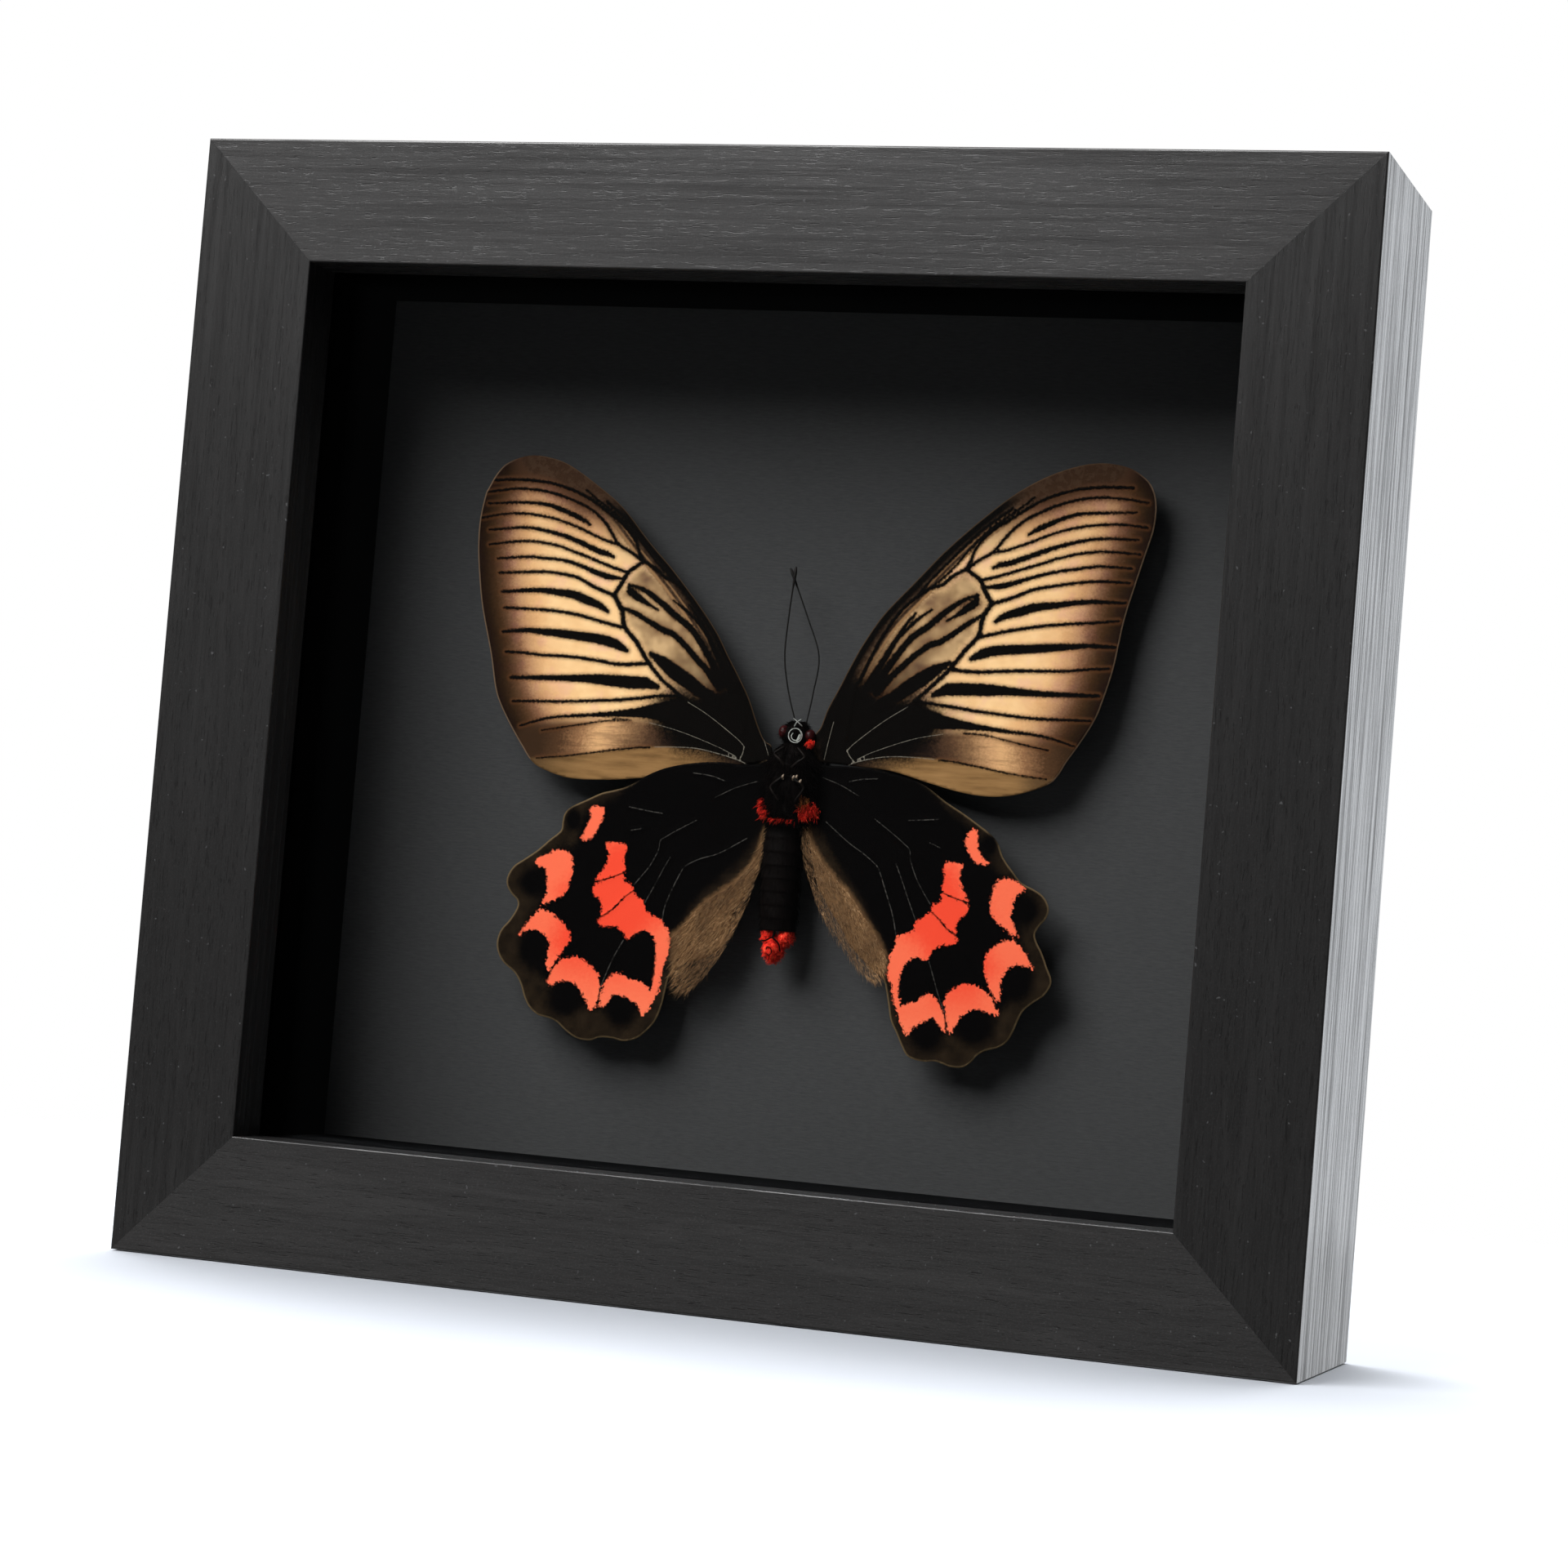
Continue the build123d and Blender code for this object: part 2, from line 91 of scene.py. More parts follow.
FORE_OUT_L = [
    (-4.9, 6), (-6.3, 7), (-7.9, 10.1), (-9.4, 13.6), (-11.4, 17.1), (-13.9, 21), (-16.3, 24.9),
    (-20, 29.5), (-24.9, 34.9), (-29.9, 39.8), (-35.2, 45.4), (-39.9, 48.9), (-45.4, 52.3), (-49, 53.6),
    (-53.3, 54), (-57.3, 52.7), (-59.3, 50.8), (-60.6, 48.4), (-61.3, 46.7), (-61.9, 42.7), (-61.9, 38.4),
    (-61.3, 33.4), (-60.1, 27.1), (-57.8, 19.2), (-56.4, 13.4), (-55.2, 10.5), (-52.9, 6.8), (-50.2, 3.1),
    (-48.5, 1), (-46.2, -0.4), (-41, -1.7), (-34.6, -1.6), (-29.4, -1.1), (-23.5, -0.2), (-16.9, 1.2),
    (-10.4, 2.4), (-6.7, 3.1), (-4.7, 3.7),
]
# Dark veins: points, and the full widths at the two ends. The first three run round the cell.
FORE_VEINS = [
    ([(8.3, 8), (8.9, 15.5), (10.2, 18.6), (12.9, 24.8), (16.1, 29.9), (18.6, 32.4), (21.3, 34.3),
      (23, 34.8), (24.7, 36.3), (26.9, 37.7)], 0.63, 0.56),
    ([(26.9, 37.7), (28.5, 36.7), (29.7, 35.8), (30.4, 34.3), (31.9, 32.1)], 0.63, 0.7),
    ([(31.9, 32.1), (30.5, 29.7), (30, 26.6), (27.7, 23.8), (25.6, 20.8), (22.3, 17.4),
      (19.8, 15)], 0.77, 0.56),
    ([(21.3, 34.4), (24.6, 37.6), (27.4, 41.2), (30.3, 44.4), (32.9, 46.4), (35.5, 48.4),
      (37.7, 50.3)], 0.36, 0.31),
    ([(18.6, 32.4), (21.2, 35.8), (23.9, 38.8), (26.8, 42), (29.5, 44.7), (31.7, 46.4),
      (34.1, 48.3)], 0.45, 0.42),
    ([(27.2, 38.5), (27.7, 39.2), (28.2, 40.9), (29.6, 43), (31.8, 45), (34.1, 46.5), (36.3, 48.1),
      (39.3, 49.9), (42.3, 51.1), (45.3, 51.9), (49.2, 52.4), (54.4, 52.5)], 0.5, 0.45),
    ([(27, 37.7), (29.2, 39.4), (31.2, 40.6), (32.8, 42.6), (34.6, 44.8), (36.8, 46.6), (39.4, 48),
      (42.4, 49.3), (45.5, 50.2), (49.3, 50.7), (53.9, 50.5), (57.1, 50.1)], 0.53, 0.36),
    ([(31.2, 40.6), (34.1, 41.3), (37.9, 42.8), (41.7, 44.4), (45.5, 45.5), (49.3, 46.1), (53.1, 46.3),
      (57.3, 46)], 0.45, 0.36),
    ([(29.7, 35.9), (32.5, 36.7), (36.3, 38), (40.1, 39.3), (43.2, 40.4), (47, 41.3), (50.8, 41.7),
      (56.4, 41.5)], 0.5, 0.36),
    ([(32, 32.1), (35.2, 33.2), (38.6, 34.7), (42.4, 35.6), (46.2, 36.3), (50, 36.7),
      (55.1, 36.7)], 0.59, 0.36),
    ([(29.8, 26.3), (33.3, 27.2), (37.1, 28.1), (41, 28.8), (44.8, 29.3), (48.7, 29.7),
      (53.7, 30.3)], 0.56, 0.39),
    ([(25.3, 20.7), (29.9, 20.5), (33.8, 20.8), (37.7, 21.1), (41.6, 21.3), (45.5, 21.5), (49.3, 22),
      (52.7, 22.3)], 0.59, 0.39),
    ([(19.7, 15), (22.5, 14.8), (26.5, 14.4), (30.4, 14), (34.4, 13.7), (38.3, 13.4), (42.3, 13.3),
      (46.1, 13.4), (50.3, 13.5)], 0.56, 0.36),
    ([(28.8, 10.1), (32.7, 10), (36.7, 9.3), (40.7, 8.6), (43.5, 8.2)], 0.22, 0.22),
    ([(24.9, 5.4), (27.2, 5.3), (31.2, 4.8), (35.2, 4.2), (39.1, 3.7), (43.6, 3.4)], 0.28, 0.2),
]
# Dark streaks between the veins: points, and the width at each.
FORE_STREAKS = [
    ([(37.2, 43.9), (38.3, 44.7), (39.6, 45.4), (42.6, 46.8), (45.3, 47.7), (49.1, 48.1), (55.3, 48.4)],
      [0.35, 0.63, 0.7, 0.63, 0.5, 0.39, 0.31]),
    ([(31.6, 38.1), (32.8, 38.7), (34.3, 39), (38.1, 40.5), (41.9, 42), (45.7, 43.1), (49.5, 43.8),
      (56, 43.9)], [0.42, 0.7, 0.77, 0.7, 0.59, 0.48, 0.42, 0.31]),
    ([(30.1, 34.7), (31.5, 34.9), (32.7, 35), (35, 35.6), (38.4, 36.8), (42.2, 37.9), (46, 38.6),
      (49.8, 39.2), (55.2, 39.1)], [0.28, 0.56, 0.78, 0.7, 0.48, 0.42, 0.42, 0.39, 0.31]),
    ([(32.7, 29.1), (34.2, 30.1), (36.9, 31), (39.2, 31.8), (43, 32.4), (46.5, 33), (50.3, 33.3),
      (54.6, 33.3)], [0.49, 0.91, 1.19, 1.12, 0.87, 0.7, 0.56, 0.36]),
    ([(29, 22.6), (30.9, 23.6), (33.5, 24.3), (37.4, 24.7), (41.3, 25.1), (45.1, 25.5), (49, 25.9),
      (53.5, 25.9)], [0.56, 1.26, 1.33, 1.19, 1.12, 0.87, 0.62, 0.42]),
    ([(23, 16.3), (24.3, 16.8), (25.4, 17.3), (28.2, 17.5), (32.1, 17.6), (36, 17.6), (40, 17.5),
      (43.9, 17.5), (51.3, 17.7)], [0.7, 1.12, 1.54, 1.68, 1.54, 1.12, 0.84, 0.7, 0.48]),
    ([(20, 12.1), (22.6, 12), (25.1, 11.8), (28.3, 11.5), (32.3, 11.2), (36.6, 10.9), (42.5, 10.4),
      (47.9, 9.1)], [3.64, 2.52, 1.82, 1.19, 0.7, 0.45, 0.36, 0.28]),
    ([(21.6, 30.6), (20, 29.4), (18.6, 28.2), (16, 25.3), (14.3, 22), (12.7, 18.9), (11.9, 16.4)],
      [0.25, 0.42, 0.5, 0.56, 0.63, 0.7, 0.84]),
    ([(18.8, 29.9), (17, 27.4), (15, 23.9), (13.3, 20.9), (11.8, 18.3), (10.8, 15.8)],
      [0.31, 0.49, 0.63, 0.7, 0.84, 1.12]),
    ([(29.4, 33.5), (26.6, 32.2), (24, 30.3), (21.4, 27.9), (18.4, 25.6), (16.3, 22.8), (14.5, 20),
      (12.7, 17.1)], [0.36, 0.64, 0.84, 0.91, 0.91, 0.91, 0.98, 1.26]),
    ([(29.4, 33.3), (29, 32.1), (27.6, 31), (26.1, 29.9), (24.3, 28.8)], [0.34, 1.12, 0.98, 0.56, 0.28]),
    ([(30.6, 30.2), (28.4, 28.8), (25.5, 26.6), (23.2, 25.1), (21.7, 24.6), (19.4, 22.8), (17.2, 20.7),
      (15.4, 18.9), (13.1, 16.2)], [0.42, 0.64, 0.76, 0.84, 0.84, 0.84, 0.84, 0.91, 1.26]),
    ([(25.4, 21.8), (23, 20.4), (20.9, 18.9), (18.6, 17.3), (16.3, 15.5), (13.8, 14)],
      [0.56, 1.54, 1.96, 1.96, 1.68, 1.68]),
]
# Pale veins near the root: points, and the full widths at the two ends.
FORE_PALE = [
    ([(18.7, 14), (15.5, 11.9), (12.5, 9.6), (9.6, 7.1), (8.6, 5.9)], 0.21, 0.25),
    ([(25.2, 9.8), (21, 8.9), (17.1, 7.6), (12.9, 5.9), (10.6, 4.7)], 0.17, 0.2),
    ([(8.6, 6.1), (9.2, 5.1), (10.2, 4.1)], 0.36, 0.34),
    ([(24, 5.5), (20.1, 5.6), (16.5, 5.5), (13.4, 5), (10.2, 4.1), (8.7, 3.3)], 0.22, 0.31),
    ([(5.9, 10.8), (5.3, 7.8), (4.7, 4.3)], 0.17, 0.17),
]
# Patches: the black root, the tan strip on the inner edge, and the band above it.
FORE_BASAL = [
    (4, 7.7), (4.7, 12.9), (7.1, 18), (9.5, 17.3), (11, 16.3), (12, 15.5), (13.8, 14.5), (15.8, 14.5),
    (18.1, 14.5), (19.8, 15.2), (21.5, 14.4), (22.8, 13.3), (23.9, 11.8), (23.8, 10.7), (22.8, 9.5),
    (21.5, 8.4), (20.1, 7.2), (19.4, 6), (16.3, 5.6), (12.9, 5), (9.8, 4.1), (7.8, 3.1), (4.5, 4.6),
]
FORE_ANAL = [
    (9.2, 3.5), (13.4, 5), (16.5, 5.5), (20.1, 5.6), (24.1, 5.5), (27.2, 5.3), (31.2, 4.8), (35.2, 4.2),
    (39.1, 3.7), (43.1, 3.4), (46.2, 3.1), (45.1, -1.3), (32.6, -2.2), (22.5, -0.8), (9.4, 1.6),
]
FORE_LOW = [
    (20.3, 8.7), (24.4, 10.6), (28.7, 11), (32.3, 10.9), (36.6, 10.6), (42.5, 10.1), (47.4, 9), (48.6, 7),
    (45, 0.7), (32.5, -1.5), (20.9, 1.2), (17.7, 5.1),
]
# Landmarks of the forewings: x and z on the right one, then on the left one.
FORE_MARKS = [
    (26.9, 37.7, -30.6, 36.4), (31.2, 40.6, -35.5, 39.1), (29.9, 35.9, -33.7, 34.3),
    (31.9, 32.1, -35.6, 30.3), (30, 26.4, -33.2, 24.8), (25.6, 20.7, -28.2, 18.8), (19.8, 15, -21.7, 13.5),
    (21.3, 34.4, -24.7, 33.3), (8.7, 6.1, -9.8, 5.8), (10.1, 4.1, -10.3, 3.2), (49.3, 50.7, -55.1, 48.1),
    (49.3, 46.1, -53.9, 43.8), (50.8, 41.7, -54.1, 38.9), (50, 36.7, -52.1, 33.6),
    (48.7, 29.7, -51.5, 27.2), (49.3, 22, -51.7, 19.5), (46.1, 13.4, -48.7, 11.2), (42.6, 8.4, -46, 6.5),
    (43.1, 3.4, -46.9, 1.4), (32.7, 29.1, -36.5, 27.4), (29, 22.6, -32.3, 20.8), (23, 16.3, -26.2, 14.9),
    (31.6, 38.1, -36.3, 36.9), (37.2, 43.9, -41.2, 42.3), (29, 32.1, -32.6, 31.1),
    (25.1, 21.9, -27.6, 20.8), (30.6, 30.2, -34, 28.2), (16.5, 5.5, -18.4, 4.8), (28.3, 11.5, -30.1, 10.2),
]
# Outlines of the hindwings, from the root along the front edge and round.
HIND_OUT_R = [
    (1.5, 3.5), (4.8, 3.3), (9.9, 3.3), (14.3, 3.1), (19.3, 2.2), (22.8, 1.1), (26.9, -1.5), (30, -3.2),
    (32.8, -4.9), (34.9, -6.3), (36.4, -7.8), (37.5, -10.1), (39.3, -12.3), (40.9, -14), (42.9, -14.9),
    (44.4, -15.7), (45.4, -16.8), (45.9, -18.2), (45.5, -19.7), (44.5, -21), (43.9, -22.3), (44.2, -23.5),
    (45.1, -25), (45.8, -26.4), (46.4, -27.8), (47.2, -29.5), (47.1, -30.8), (46.1, -32.4), (44.4, -33.7),
    (43, -35), (42.2, -36.5), (41.5, -38.5), (40.5, -40.4), (39.1, -41.5), (37, -42.2), (35.6, -43.1),
    (34.6, -44.4), (33.2, -45.3), (31.3, -45.4), (29.8, -45), (28.4, -44.7), (26.8, -44.9), (24.9, -44.7),
    (23.5, -44.1), (22.5, -42.6), (21.4, -40.5), (20.3, -38.5), (19.7, -36), (19.1, -33.5), (18.4, -31.8),
    (16.2, -30.2), (14.2, -28.5), (12.1, -26.5), (10.8, -24.4), (9.1, -22), (7.8, -20.3), (6, -17.5),
    (5.1, -15.4), (4.3, -12.6), (3.6, -9.7), (2.8, -6.9), (1.9, -3.5),
]
HIND_OUT_L = [
    (-4.8, 3.1), (-7.2, 2.7), (-10.1, 2.5), (-13.2, 2.7), (-17.1, 2.4), (-20.9, 1.7), (-23.9, 0.8),
    (-26.6, -0.5), (-28.4, -1.7), (-30.3, -2.7), (-32.2, -3.3), (-34.6, -4), (-37.2, -5.3), (-39.9, -6.7),
    (-41, -7.9), (-41.3, -9.4), (-41.5, -10.9), (-43.3, -12.5), (-45.6, -14.6), (-47.8, -16.2),
    (-49.7, -17.6), (-50.7, -19.4), (-50.7, -20.9), (-49.8, -22.3), (-48.5, -23.5), (-48.5, -24.8),
    (-49.6, -26.8), (-51.1, -28.7), (-51.7, -30.7), (-51.4, -32.5), (-50.2, -34.3), (-48, -35.9),
    (-46.7, -37.7), (-45.8, -39.9), (-44.7, -41.6), (-43, -42.8), (-40.9, -43.2), (-39.3, -43.8),
    (-37.6, -45.1), (-35.5, -46.2), (-33.1, -46.4), (-31.1, -45.7), (-28.8, -45.7), (-26.8, -46),
    (-24.5, -45.3), (-22.7, -43.8), (-21.3, -41.9), (-20.4, -39.3), (-20, -37), (-19.6, -34.8),
    (-18.9, -33.6), (-16.8, -31.8), (-14.1, -31.1), (-11.9, -29.8), (-10.3, -28.2), (-9.5, -26), (-9, -23),
    (-7.7, -20.4), (-6, -17.7), (-5.2, -15.1), (-4.9, -12.1), (-4.8, -9.6), (-4.4, -4.6),
]
# Coral patches.
HIND_RED = [
    [(31.1, -6.8), (31.6, -5.8), (32.3, -5.8), (32.9, -6.6), (32.9, -8.1), (33.5, -9.7), (34.6, -10.8),
      (35.2, -11.1), (34.1, -11.6), (32.6, -11), (31.3, -9.3), (30.8, -8)],
    [(27.4, -12), (27.8, -11.5), (28.9, -11.5), (30, -11.5), (30.7, -11.8), (30.3, -13.3), (30.6, -15),
      (31.5, -16.6), (32, -17.7), (29.7, -17.3), (27.4, -16.4), (27.7, -14.5)],
    [(27.5, -16.6), (29.8, -17.5), (31.7, -18.1), (32.2, -18.9), (31.8, -20), (30.9, -20.6), (30.3, -22.2),
      (30.3, -23.4), (28.7, -22.4), (27.1, -20.8), (25.9, -19.9), (26.1, -18.8), (27.4, -18.2)],
    [(25.9, -20), (27.1, -21), (28.7, -22.6), (30.3, -23.6), (30.8, -24.5), (29.7, -25.2), (27.8, -25.5),
      (26.4, -26.8), (25.8, -28.2), (24.8, -27.9), (23.3, -27.8), (21.8, -29.7), (21.2, -31.6),
      (21.3, -33.7), (21.9, -36), (23, -35.4), (24.5, -35.1), (25.6, -34.1), (26.2, -33.6), (27.4, -33.9),
      (28.6, -35.3), (29.5, -37.3), (30, -39.7), (29, -39.2), (27.9, -37.8), (27, -37.7), (25.5, -38.6),
      (24.1, -39.6), (23.3, -40.8), (22.2, -39), (21.3, -36.9), (20.4, -34.9), (20, -32.7), (19.1, -31),
      (19.2, -29.5), (19.4, -27.4), (20.2, -25.9), (20.2, -24.4), (21.7, -24), (23.1, -23.1), (23.4, -21.7),
      (24.8, -20.9)],
    [(29.6, -33.4), (31, -32.2), (33.1, -31.4), (35.4, -31.9), (37, -33.2), (38.2, -34.8), (38.6, -36.1),
      (37.2, -36), (35.3, -35.6), (33.5, -35.9), (32.1, -37.3), (31.3, -39), (30.7, -40), (30.1, -38.7),
      (29.6, -36.6), (29.4, -34.9)],
    [(35.7, -26.8), (37.4, -24.6), (39.5, -23.7), (40.6, -23.8), (42.2, -25.3), (43.3, -27), (44, -28.3),
      (42.8, -27.7), (41.3, -27.6), (39.9, -28.3), (38.9, -29.8), (38.7, -31.6), (38.7, -33.4),
      (38.3, -34.1), (37.3, -32.8), (36.2, -30.4), (35.7, -28.6)],
    [(36.7, -14.3), (37.6, -13.6), (39.1, -13.6), (40.6, -14.2), (41.7, -15), (41.4, -15.5), (40.2, -16.3),
      (39.8, -18), (39.6, -20.1), (40.3, -21.5), (41.1, -23.1), (39.4, -22.3), (37.5, -21), (36.2, -19.7),
      (35.9, -18.2), (36.1, -16.1)],
]
# Black spots: x and z of the middle, half width and half height.
HIND_SPOTS = [
    (42, -18.5, 2.24, 2.38), (41.6, -30.6, 2.38, 2.94), (34.8, -38.6, 3.08, 2.8), (26.7, -40.5, 2.66, 2.66),
    (35, -8.2, 1.26, 1.82),
]
# The tan inner fold, and the black ground inside the brown border.
HIND_FOLD = [
    (2.9, -5.5), (3.4, -6.9), (4.4, -9.6), (6.5, -12.6), (9, -15.2), (12, -17.9), (15.1, -21.9),
    (17.7, -25.4), (19, -28.1), (18.9, -30.3), (18.3, -32.5), (15.4, -32.2), (10.7, -27.7), (5.8, -21.2),
    (2.1, -12.5), (1.3, -6.3),
]
HIND_DARK = [
    (4.8, 4.3), (19.3, 3.1), (24.1, 0.2), (27.1, -2.6), (30.4, -4.8), (33.1, -6.8), (34.2, -8.9),
    (35.6, -11.3), (36.7, -12.8), (39.3, -13.5), (40.9, -15.2), (41.3, -17.1), (41.1, -22), (42.2, -24.9),
    (43.6, -27.8), (42.9, -30), (40.4, -33.7), (38.6, -35.7), (37.3, -37.2), (34.4, -39.3), (31, -39.3),
    (27.5, -40.5), (23.4, -40), (21.9, -37.1), (20.6, -33.8), (19.6, -31.3), (19.4, -28.6), (17.7, -25.4),
    (15.5, -21.9), (12.9, -17.8), (10, -14.4), (6.5, -9.5), (4.3, -6.4), (2.7, -4.2), (2.3, 2.7),
]
# Pale veins, then dark ones: points, and the full widths at the two ends.
HIND_PALE = [
    ([(6.2, -6.2), (10.3, -9.3), (13.4, -11.2), (15.8, -13), (16.4, -14), (17.8, -17.4), (19.2, -20.9),
      (20.1, -24.3)], 0.13, 0.18),
    ([(14.8, -5.2), (18.4, -7.6), (20.1, -8.9), (21.3, -9.9), (21.6, -11.7), (22.8, -14.5), (24.1, -16.6),
      (25.6, -18.7)], 0.11, 0.15),
    ([(19.1, -12.4), (20.2, -14.7), (21.6, -17.9), (23.3, -21.6)], 0.11, 0.15),
    ([(20.7, -5), (23.1, -4.8), (25.9, -4.5)], 0.14, 0.14),
    ([(24.7, -8.5), (26.5, -9.2)], 0.13, 0.13),
    ([(9.7, 0.8), (11.7, 1.3), (14.7, 1.6)], 0.17, 0.11),
    ([(26.2, -28.3), (27.2, -31), (28.3, -33.9), (29.5, -36.4)], 0.13, 0.13),
    ([(5, 1.2), (8.3, 0.1), (11.6, -1.5)], 0.11, 0.08),
]
HIND_VEINS = [
    ([(27.2, -16.5), (29.7, -17.4), (32.2, -18)], 0.17, 0.22),
    ([(25.6, -19.8), (27.1, -20.9), (28.7, -22.5), (30.6, -23.7)], 0.17, 0.22),
    ([(32.7, -26.7), (34.9, -29.8), (36.5, -31.8), (38.3, -34.7)], 0.2, 0.2),
    ([(29.5, -36.4), (30.1, -40)], 0.2, 0.25),
]
# Landmarks of the hindwings: x and z on the right one, then on the left one.
HIND_MARKS = [
    (30.8, -8, -34, -8.1), (32.6, -11, -35.4, -11.5), (33.5, -9.7, -36.8, -9.9), (32.9, -6.6, -36.4, -7),
    (31.9, -5.7, -35.3, -6.2), (35.2, -11.2, -37.7, -12), (27.7, -11.5, -29.5, -12.3),
    (30.7, -11.8, -33, -12.6), (32, -17.7, -34.3, -19), (30.3, -23.6, -32.8, -25.3),
    (27.4, -16.4, -29.1, -17.1), (25.9, -19.9, -27.4, -20.3), (23.4, -21.7, -25, -22.2),
    (20.2, -24.4, -21.6, -24.9), (19.1, -31, -19.8, -29.8), (25.8, -28.2, -27.8, -28.6),
    (21.9, -36, -22.7, -37), (23.3, -40.8, -23.8, -41.3), (30, -39.7, -31.9, -40.6),
    (30.7, -40, -33.3, -41.2), (26.2, -33.6, -28.7, -34.5), (33.1, -31.4, -36.4, -32.4),
    (38.6, -36.1, -41.5, -37.5), (39.5, -23.7, -43.4, -24.7), (44, -28.3, -47.6, -29.3),
    (38.3, -34.1, -41.7, -35), (39.1, -13.6, -42, -14.3), (41.7, -15, -46, -16.6), (41.1, -23.1, -44, -24),
    (35.9, -18.2, -39.1, -20), (35.7, -28.6, -38.2, -29.4), (45.9, -18.3, -50.8, -20.2),
    (43.9, -22.5, -48.4, -24), (47.2, -29.6, -51.7, -31.6), (42.5, -35.6, -46.4, -38.3),
    (40.1, -40.8, -43.8, -42.4), (35.8, -42.9, -39.3, -43.8), (32.1, -45.4, -33.6, -46.4),
    (28.2, -44.7, -30.7, -45.6), (23.8, -44.3, -26.2, -45.9), (20.3, -38.5, -21.1, -41.5),
    (18.4, -31.8, -19.1, -33.8), (12.1, -26.5, -13.5, -30.9), (6, -17.5, -8.7, -22.3), (3, -6.8, -5, -9.1),
    (10, -14.4, -12.9, -17.8), (15.5, -21.9, -18.1, -24.8), (4.7, -6.9, -6.2, -10.5),
    (9.9, 3.3, -13.2, 2.7), (19.3, 2.2, -23.9, 0.8), (24.8, -0.1, -30.3, -2.7), (32.8, -4.9, -39.9, -6.7),
    (37.5, -10.1, -41.5, -10.9), (4.9, 3.2, -6.7, 2.2),
]


# ---------------------------------------------------------------- materials
class Nodes:
    """A node tree and short ways to add to it."""

    def __init__(self, tree):
        self.tree = tree

    def put(self, socket, value):
        """Links a socket to an input, or gives the input a value."""
        if isinstance(value, bpy.types.NodeSocket):
            self.tree.links.new(value, socket)
        elif hasattr(value, "__len__") and len(value) == 3 and len(socket.default_value) == 4:
            socket.default_value = (*value, 1)
        else:
            socket.default_value = value

    def node(self, kind, inputs=(), output=0, **settings):
        """An output of a new node."""
        node = self.tree.nodes.new("ShaderNode" + kind)
        for name, value in settings.items():
            setattr(node, name, value)
        for key, value in dict(inputs).items():
            self.put(node.inputs[key], value)
        return node.outputs[output]

    def math(self, operation, *values):
        return self.node("Math", dict(enumerate(values)), operation=operation)

    def times(self, a, b):
        return self.math("MULTIPLY", a, b)

    def scaled(self, value, factor, offset):
        """value * factor + offset."""
        return self.math("MULTIPLY_ADD", value, factor, offset)


class Shader(Nodes):
    """A material on the Principled shader. Vectors are in millimetres."""

    def __init__(self, name, **sockets):
        self.material = bpy.data.materials.new(name)
        self.material.use_nodes = True
        super().__init__(self.material.node_tree)
        self.bsdf = self.tree.nodes["Principled BSDF"]
        self.set(**sockets)

    def set(self, **sockets):
        for name, value in sockets.items():
            self.put(self.bsdf.inputs[name.replace("_", " ")], value)

    def surface(self, shader):
        """Shows another shader in place of the Principled one."""
        self.put(self.tree.nodes["Material Output"].inputs["Surface"], shader)

    def attribute(self, name, output="Fac"):
        return self.node("Attribute", output=output, attribute_name=name)

    def mm(self, stretch=(1, 1, 1), shift=(0, 0, 0), attribute=None):
        """Object coordinates in millimetres, or a vector attribute, times stretch."""
        source = self.attribute(attribute, "Vector") if attribute else self.node("TexCoord", output="Object")
        scale = 1 if attribute else 1000
        inputs = {"Vector": source, "Scale": [s * scale for s in stretch], "Location": shift}
        return self.node("Mapping", inputs)

    def noise(self, vector, scale, detail=3.0, roughness=0.55, distortion=0.0):
        inputs = {"Vector": vector, "Scale": scale, "Detail": detail, "Roughness": roughness}
        return self.node("TexNoise", {**inputs, "Distortion": distortion}, "Fac")

    def cells(self, vector, scale):
        return self.node("TexVoronoi", {"Vector": vector, "Scale": scale}, "Distance")

    def ramp(self, fac, *stops):
        """Colour ramp; each stop is (position, colour)."""
        node = self.tree.nodes.new("ShaderNodeValToRGB")
        elements = node.color_ramp.elements
        while len(elements) < len(stops):
            elements.new(0.5)
        for element, (position, colour) in zip(elements, stops):
            element.position = position
            element.color = (*colour, 1)
        self.put(node.inputs["Fac"], fac)
        return node.outputs["Color"]

    def step(self, value, low, high):
        """0 up to low, 1 from high on and smooth in between; the other way round if low is above high."""
        inputs = {"Value": value, "From Min": min(low, high), "From Max": max(low, high)}
        if low > high:
            inputs.update({"To Min": 1.0, "To Max": 0.0})
        return self.node("MapRange", inputs, interpolation_type="SMOOTHSTEP")

    def mix(self, fac, a, b, blend="MIX"):
        """Colour a with colour b over it as far as fac says."""
        inputs = {"Factor": fac, 6: a, 7: b}
        return self.node("Mix", inputs, 2, data_type="RGBA", blend_type=blend)

    def over(self, below, above, value, low, high, strength=1.0):
        """Colour above laid over colour below where the value has stepped from low to high."""
        mask = self.step(value, low, high)
        return self.mix(mask if strength == 1 else self.times(mask, strength), below, above)

    def bump(self, height, distance, strength):
        """Bump whose distance is in millimetres."""
        return self.node("Bump", {"Height": height, "Distance": distance * MM, "Strength": strength})

    def finish(self, colour, rough, bump, gloss=0.5):
        """The material, from a colour, what scaled() takes for the roughness and what bump() takes."""
        self.set(Base_Color=colour, Roughness=self.scaled(*rough), Normal=self.bump(*bump))
        self.set(Specular_IOR_Level=gloss)
        return self.material


def srgb(*rgb):
    """Linear colour from 0-255 screen values."""
    return tuple(((c / 255 + 0.055) / 1.055) ** 2.4 if c > 10 else c / 255 / 12.92 for c in rgb)


